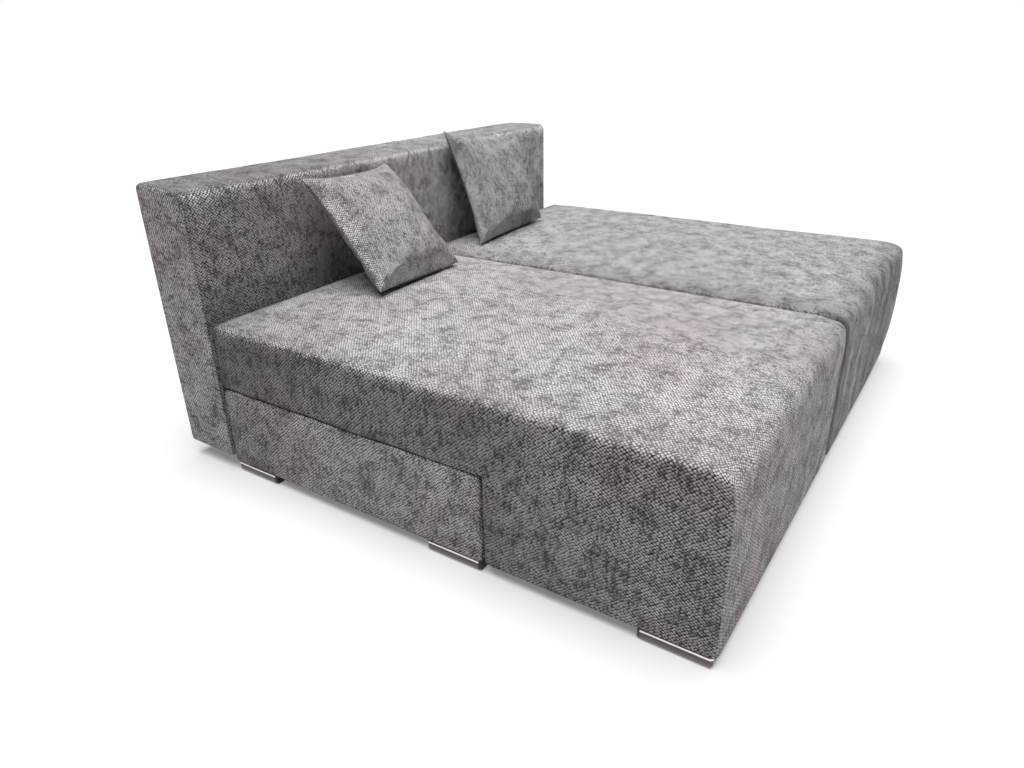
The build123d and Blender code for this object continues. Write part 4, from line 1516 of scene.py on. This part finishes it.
@dataclass
class SeatCloth:
    """One flat cloth inside one seat."""

    hand: Hand
    cloth: Cloth
    finishes: Finishes
    step: float = 16 * MM
    folds: Wave = Wave((0.07, 0.11, 1.0), 1.0, 51)

    def build(self) -> bpy.types.Object:
        """Returns:
            The cloth.
        """
        name = self.hand.value
        low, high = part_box(f"{name}_{self.cloth.node}")
        a, b = np.meshgrid(lines(low.x, high.x, self.step, (self.step,)),
                           lines(low.y, high.y, self.step, (self.step,)), indexing="ij")
        share_a, share_b = (a - low.x) / (high.x - low.x), (b - low.y) / (high.y - low.y)
        hang = 16 * share_a * (1 - share_a) * share_b * (1 - share_b)
        place = np.stack([a, b, np.full(a.shape, (low.z + high.z) / 2)], axis=-1)
        folds = self.folds.at(place.reshape(-1, 3)).reshape(a.shape)
        held = np.minimum(1.0, 3 * hang)
        place[..., 2] += held * folds * self.cloth.wrinkle - hang * self.cloth.sag
        shell = Shell()
        shell.grid(place, place[..., :2], np.broadcast_to(self.cloth.facing, place.shape))
        obj = shell.mesh(f"{name}_seat_{self.cloth.slot}_sheet")
        self.finishes.dress(obj, self.cloth.slot)
        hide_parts(f"{name}_{self.cloth.node}")
        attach(obj, f"{name}_seat")
        return obj


# --------------------------------------------------------------------------- grown pieces


def along(tree: Tree, **parts: float | Socket) -> Socket:
    """Puts a vector together from its X, Y and Z."""
    return add(tree, "ShaderNodeCombineXYZ", parts).outputs[0]


def repeat(tree: Tree, piece: bpy.types.Node, count: Socket, start: Socket,
           step: Socket) -> bpy.types.Node:
    """Sets a piece down many times in a straight row."""
    row = add(tree, "GeometryNodeMeshLine",
              {"Count": count, "Start Location": start, "Offset": step}, mode="OFFSET")
    return add(tree, "GeometryNodeInstanceOnPoints",
               {"Points": row.outputs[0], "Instance": piece.outputs[0]})


def new_tree(name: str, inputs: dict[str, str]) -> tuple[Tree, bpy.types.Node]:
    """Makes a Geometry Nodes tree with named inputs.

    Args:
        name: What the tree makes.
        inputs: Each input's name and its kind of socket.

    Returns:
        The tree and its input node.
    """
    tree = bpy.data.node_groups.new(name, "GeometryNodeTree")
    for label, kind in inputs.items():
        tree.interface.new_socket(label, in_out="INPUT", socket_type=f"NodeSocket{kind}")
    tree.interface.new_socket("Geometry", in_out="OUTPUT", socket_type="NodeSocketGeometry")
    return tree, add(tree, "NodeGroupInput")


def close_tree(tree: Tree, made: bpy.types.Node, given: bpy.types.Node) -> None:
    """Ends a tree in real geometry that carries the finish it was given."""
    real = add(tree, "GeometryNodeRealizeInstances", {0: made.outputs[0]})
    dressed = add(tree, "GeometryNodeSetMaterial",
                  {"Geometry": real.outputs[0], "Material": given.outputs["Finish"]})
    add(tree, "NodeGroupOutput", {0: dressed.outputs[0]})


def grow(tree: Tree, name: str, values: dict[str, object]) -> bpy.types.Object:
    """Runs a tree and keeps its result as a plain mesh.

    Args:
        tree: The Geometry Nodes tree.
        name: The new piece's name.
        values: A value for each of the tree's inputs.

    Returns:
        The piece, with no modifier left on it.
    """
    sockets = {item.name: item.identifier for item in tree.interface.items_tree}
    obj = bpy.data.objects.new(name, bpy.data.meshes.new(name))
    bpy.context.scene.collection.objects.link(obj)
    grown = obj.modifiers.new("grown", "NODES")
    grown.node_group = tree
    for label, value in values.items():
        grown[sockets[label]] = value
    obj.data = bpy.data.meshes.new_from_object(
        obj.evaluated_get(bpy.context.evaluated_depsgraph_get()))
    obj.modifiers.clear()
    return obj


@dataclass
class Webbing:
    """The elastic bands that carry the backrest's foam, stapled to the frame at one pitch."""

    finishes: Finishes
    band: float = 60 * MM
    count: int = 12
    give: float = 2.5 * MM
    held_share: float = 0.46
    free_share: float = 0.25

    def _tree(self) -> Tree:
        """Builds the nodes that press one band back in its middle and repeat it."""
        tree, given = new_tree("webbing_along_the_frame", {
            "Band": "Vector", "Start": "Vector", "Pitch": "Float", "Count": "Int", "Give": "Float",
            "Finish": "Material"})
        band = add(tree, "GeometryNodeMeshCube",
                   {"Size": given.outputs["Band"], "Vertices X": 4, "Vertices Z": 25})
        place = add(tree, "GeometryNodeInputPosition")
        share = add(tree, "ShaderNodeVectorMath",
                    {0: place.outputs[0], 1: given.outputs["Band"]}, operation="DIVIDE")
        upward = add(tree, "ShaderNodeSeparateXYZ", {0: share.outputs[0]})
        away = calc(tree, "ABSOLUTE", upward.outputs[2])
        back = remap(tree, away, (self.held_share, self.free_share),
                     (0.0, given.outputs["Give"]), soft=True)
        bent = add(tree, "GeometryNodeSetPosition",
                   {"Geometry": band.outputs[0], "Offset": along(tree, Y=back)})
        bands = repeat(tree, bent, given.outputs["Count"], given.outputs["Start"],
                       along(tree, X=given.outputs["Pitch"]))
        close_tree(tree, bands, given)
        return tree

    def build(self) -> bpy.types.Object:
        """Returns:
            The bands, as one plain mesh.
        """
        low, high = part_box("backrest_webbing")
        middle = (low + high) / 2
        obj = grow(self._tree(), "backrest_elastic_bands", {
            "Band": (self.band, high.y - low.y, high.z - low.z),
            "Start": (low.x + self.band / 2, middle.y, middle.z),
            "Pitch": (high.x - low.x - self.band) / (self.count - 1),
            "Count": self.count, "Give": self.give,
            "Finish": self.finishes.by_slot["webbing"]})
        self.finishes.dress(obj, "webbing")
        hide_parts("backrest_webbing")
        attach(obj, "base")
        return obj


@dataclass
class Zip:
    """The zip along a cushion's lower seam: a woven tape and two rows of meshing teeth."""

    hand: Hand
    finishes: Finishes
    tape: tuple[float, float] = (9.6 * MM, 0.9 * MM)
    tooth: tuple[float, float, float] = (1.2 * MM, 2.4 * MM, 2.2 * MM)
    pitch: float = 2.6 * MM
    mesh_share: float = 0.3
    slider: tuple[float, float, float] = (9 * MM, 6.5 * MM, 3.6 * MM)
    seam_search: float = 40 * MM
    proud: float = 0.5 * MM

    def _tree(self) -> Tree:
        """Builds the nodes that lay the tape, both rows of teeth and the slider."""
        tree, given = new_tree("zip_along_its_length",
                               {"Length": "Float", "Pitch": "Float", "Finish": "Material"})
        length, pitch = given.outputs["Length"], given.outputs["Pitch"]
        count = add(tree, "FunctionNodeFloatToInt", {0: calc(tree, "DIVIDE", length, pitch)},
                    rounding_mode="FLOOR")
        step = along(tree, X=pitch)
        low = calc(tree, "MULTIPLY", length, -0.5)
        tooth = add(tree, "GeometryNodeMeshCube", {"Size": self.tooth})
        parts = []
        for side, shift in ((1, 0.25), (-1, 0.75)):
            start = along(tree, X=calc(tree, "MULTIPLY_ADD", pitch, shift, low),
                          Y=side * self.tooth[1] * self.mesh_share)
            parts.append(repeat(tree, tooth, count.outputs[0], start, step))
        size = along(tree, X=length, Y=self.tape[0], Z=self.tape[1])
        parts.append(add(tree, "GeometryNodeMeshCube", {"Size": size}))
        body = add(tree, "GeometryNodeMeshCube", {"Size": self.slider})
        spot = along(tree, X=calc(tree, "ADD", low, self.slider[0] / 2))
        parts.append(add(tree, "GeometryNodeTransform",
                         {"Geometry": body.outputs[0], "Translation": spot}))
        joined = add(tree, "GeometryNodeJoinGeometry")
        for part in parts:
            tree.links.new(part.outputs[0], joined.inputs[0])
        close_tree(tree, joined, given)
        return tree

    def _along_seam(self, points: Points, middle: Points, way: Points) -> Points:
        """Bends the zip to the lower seam of the blown up cushion, its teeth facing out.

        Args:
            points: The zip's vertices, straight along X and round the origin.
            middle: The CAD zip's middle.
            way: The direction along the CAD zip.

        Returns:
            The vertices on the seam, a little proud of it.
        """
        panels = bpy.data.objects[f"{self.hand.value}_cushion_panels"]
        offsets = read_points(panels) - middle
        out = -offsets.mean(axis=0)
        out -= (out @ way) * way
        out /= np.linalg.norm(out)
        across = np.cross(out, way)
        place = points[:, 0]
        distance = offsets @ way
        near = (read_seam(panels) > 0.9) & (np.abs(offsets @ out) < self.seam_search)
        near &= np.abs(distance) < place.max() + self.seam_search
        order = np.argsort(distance[near])
        points = points @ np.array([way, across, out]) + middle
        for turn, lift in ((out, self.proud), (across, 0.0)):
            seam = (offsets @ turn)[near][order]
            seam = np.interp(place, distance[near][order], seam)
            points = points + np.outer(seam + lift, turn)
        return points

    def build(self) -> bpy.types.Object:
        """Returns:
            The zip, as a plain mesh.
        """
        name = self.hand.value
        points = read_points(bpy.data.objects[f"{name}_cushion_zip"])
        middle = (points.max(axis=0) + points.min(axis=0)) / 2
        axes = np.linalg.svd(points - points.mean(axis=0), full_matrices=False)[2]
        spread = (points - middle) @ axes.T
        obj = grow(self._tree(), f"{name}_cushion_zip_teeth", {
            "Length": float(np.ptp(spread[:, 0])) - 1 * MM, "Pitch": self.pitch,
            "Finish": self.finishes.by_slot["zip_tape"]})
        write_points(obj, self._along_seam(read_points(obj), middle, axes[0]))
        self.finishes.dress(obj, "zip_tape")
        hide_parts(f"{name}_cushion_zip")
        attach(obj, f"{name}_cushion")
        return obj


# --------------------------------------------------------------------------- hard pieces


class HardPieces:
    """The nodes that keep their own meshes: feet, timber, boards, springs and fasteners."""

    def __init__(self, frame: dict, finishes: Finishes) -> None:
        """Keeps the frame's nodes and the slot that the record gives each."""
        self.nodes = frame["nodes"]
        self.slots = {row["node"]: row["material_slot"] for row in frame["record"]["subparts"]}
        self.finishes = finishes

    def dress(self) -> int:
        """Dresses every node that is still shown.

        Returns:
            How many nodes were dressed.
        """
        shown = [name for name, obj in self.nodes.items() if not obj.hide_render]
        for name in shown:
            self.finishes.dress(self.nodes[name], self.slots[name])
        return len(shown)


# --------------------------------------------------------------------------- studio


def in_sight(tree: Tree) -> Socket:
    """1 for what is seen itself, in a mirror or through glass, and 0 for its light."""
    path = add(tree, "ShaderNodeLightPath").outputs
    seen = calc(tree, "MAXIMUM", path["Is Camera Ray"], path["Is Glossy Ray"])
    return calc(tree, "MAXIMUM", seen, path["Is Transmission Ray"])


@dataclass
class Studio:
    """A pale floor, soft studio light and the camera at the photograph's angle."""

    camera_place: tuple[float, float, float] = (-2.1022, -1.1490, 1.1894)
    azimuth: float = -56.02
    elevation: float = 25.12
    roll: float = -1.2
    lens: float = 26.04
    sensor: float = 36.0
    sight: float = 100.0
    floor_size: float = 30.0
    floor_colour: str = "#eeeeee"
    floor_bounce: str = "#b3b1b0"
    floor_glow: float = 0.19
    sun_strength: float = 3.95
    sun_spread: float = 58.0
    sun_lean: tuple[float, float] = (-0.06, -0.06)
    ambient: float = 0.08

    def _camera(self) -> None:
        """Places the camera."""
        az, el, roll = (math.radians(v) for v in (self.azimuth, self.elevation, self.roll))
        back = Vector((math.sin(az) * math.cos(el), -math.cos(az) * math.cos(el), math.sin(el)))
        right = (-back).cross(Vector((0, 0, 1))).normalized()
        up = right.cross(-back)
        c, s = math.cos(roll), math.sin(roll)
        turned_right, turned_up = c * right + s * up, c * up - s * right
        data = bpy.data.cameras.new("photo_camera")
        data.lens = self.lens
        data.sensor_width = self.sensor
        data.clip_end = self.sight
        camera = bpy.data.objects.new("photo_camera", data)
        camera.matrix_world = Matrix.Translation(self.camera_place) @ Matrix(
            (turned_right, turned_up, back)).transposed().to_4x4()
        bpy.context.scene.collection.objects.link(camera)
        bpy.context.scene.camera = camera

    def _floor(self) -> None:
        """Lays the floor, which shows near white and keeps the shadow."""
        half = self.floor_size / 2
        data = bpy.data.meshes.new("studio_floor")
        data.from_pydata([(-half, -half, 0), (half, -half, 0), (half, half, 0), (-half, half, 0)],
                         [], [(0, 1, 2, 3)])
        floor = bpy.data.objects.new("studio_floor", data)
        bpy.context.scene.collection.objects.link(floor)
        material, tree = new_material("pale_floor")
        seen = in_sight(tree)
        colour = mix(tree, seen, linear(self.floor_bounce), linear(self.floor_colour))
        matt = add(tree, "ShaderNodeBsdfDiffuse", {"Color": colour})
        glow = add(tree, "ShaderNodeEmission", {"Color": (1, 1, 1, 1), "Strength": 1.0})
        part = calc(tree, "MULTIPLY", seen, self.floor_glow)
        both = add(tree, "ShaderNodeMixShader",
                   {0: part, 1: matt.outputs[0], 2: glow.outputs[0]})
        add(tree, "ShaderNodeOutputMaterial", {"Surface": both.outputs[0]})
        data.materials.append(material)

    def _world(self) -> None:
        """Fills the room with even light behind a white backdrop."""
        world = bpy.data.worlds.new("studio_room")
        world.use_nodes = True
        tree = world.node_tree
        tree.nodes.clear()
        strength = remap(tree, in_sight(tree), (0.0, 1.0), (self.ambient, 1.0))
        light = add(tree, "ShaderNodeBackground", {"Color": (1, 1, 1, 1), "Strength": strength})
        add(tree, "ShaderNodeOutputWorld", {"Surface": light.outputs[0]})
        bpy.context.scene.world = world

    def _daylight(self) -> None:
        """Hangs the wide overhead light, which leans a little towards the seats' fronts."""
        data = bpy.data.lights.new("overhead_light", "SUN")
        data.energy = self.sun_strength
        data.angle = math.radians(self.sun_spread)
        lamp = bpy.data.objects.new("overhead_light", data)
        towards = Vector((*self.sun_lean, 1.0))
        lamp.rotation_euler = towards.to_track_quat("Z", "Y").to_euler()
        bpy.context.scene.collection.objects.link(lamp)

    def build(self) -> None:
        """Sets camera, floor, light and view."""
        self._camera()
        self._floor()
        self._world()
        self._daylight()
        bpy.context.scene.view_settings.view_transform = "Standard"


# --------------------------------------------------------------------------- main


def main() -> None:
    """Builds every piece in order and reports each."""
    logging.basicConfig(level=logging.INFO, format="%(name)s: %(message)s")
    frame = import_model()
    finishes = Finishes()
    made = [Backrest(finishes).build(), Webbing(finishes).build()]
    for hand in Hand:
        seat = Seat(hand, finishes).build()
        made += [seat, BasePad(hand, finishes).build(), Cushion(hand, finishes).build(seat),
                 Zip(hand, finishes).build()]
        made += [SeatCloth(hand, kind.value, finishes).build() for kind in HiddenCloth]
    for obj in made:
        LOG.info("%s: %d faces", obj.name, len(obj.data.polygons))
    count = HardPieces(frame, finishes).dress()
    LOG.info("dressed %d nodes", count)
    Studio().build()


if __name__ == "__main__":
    main()
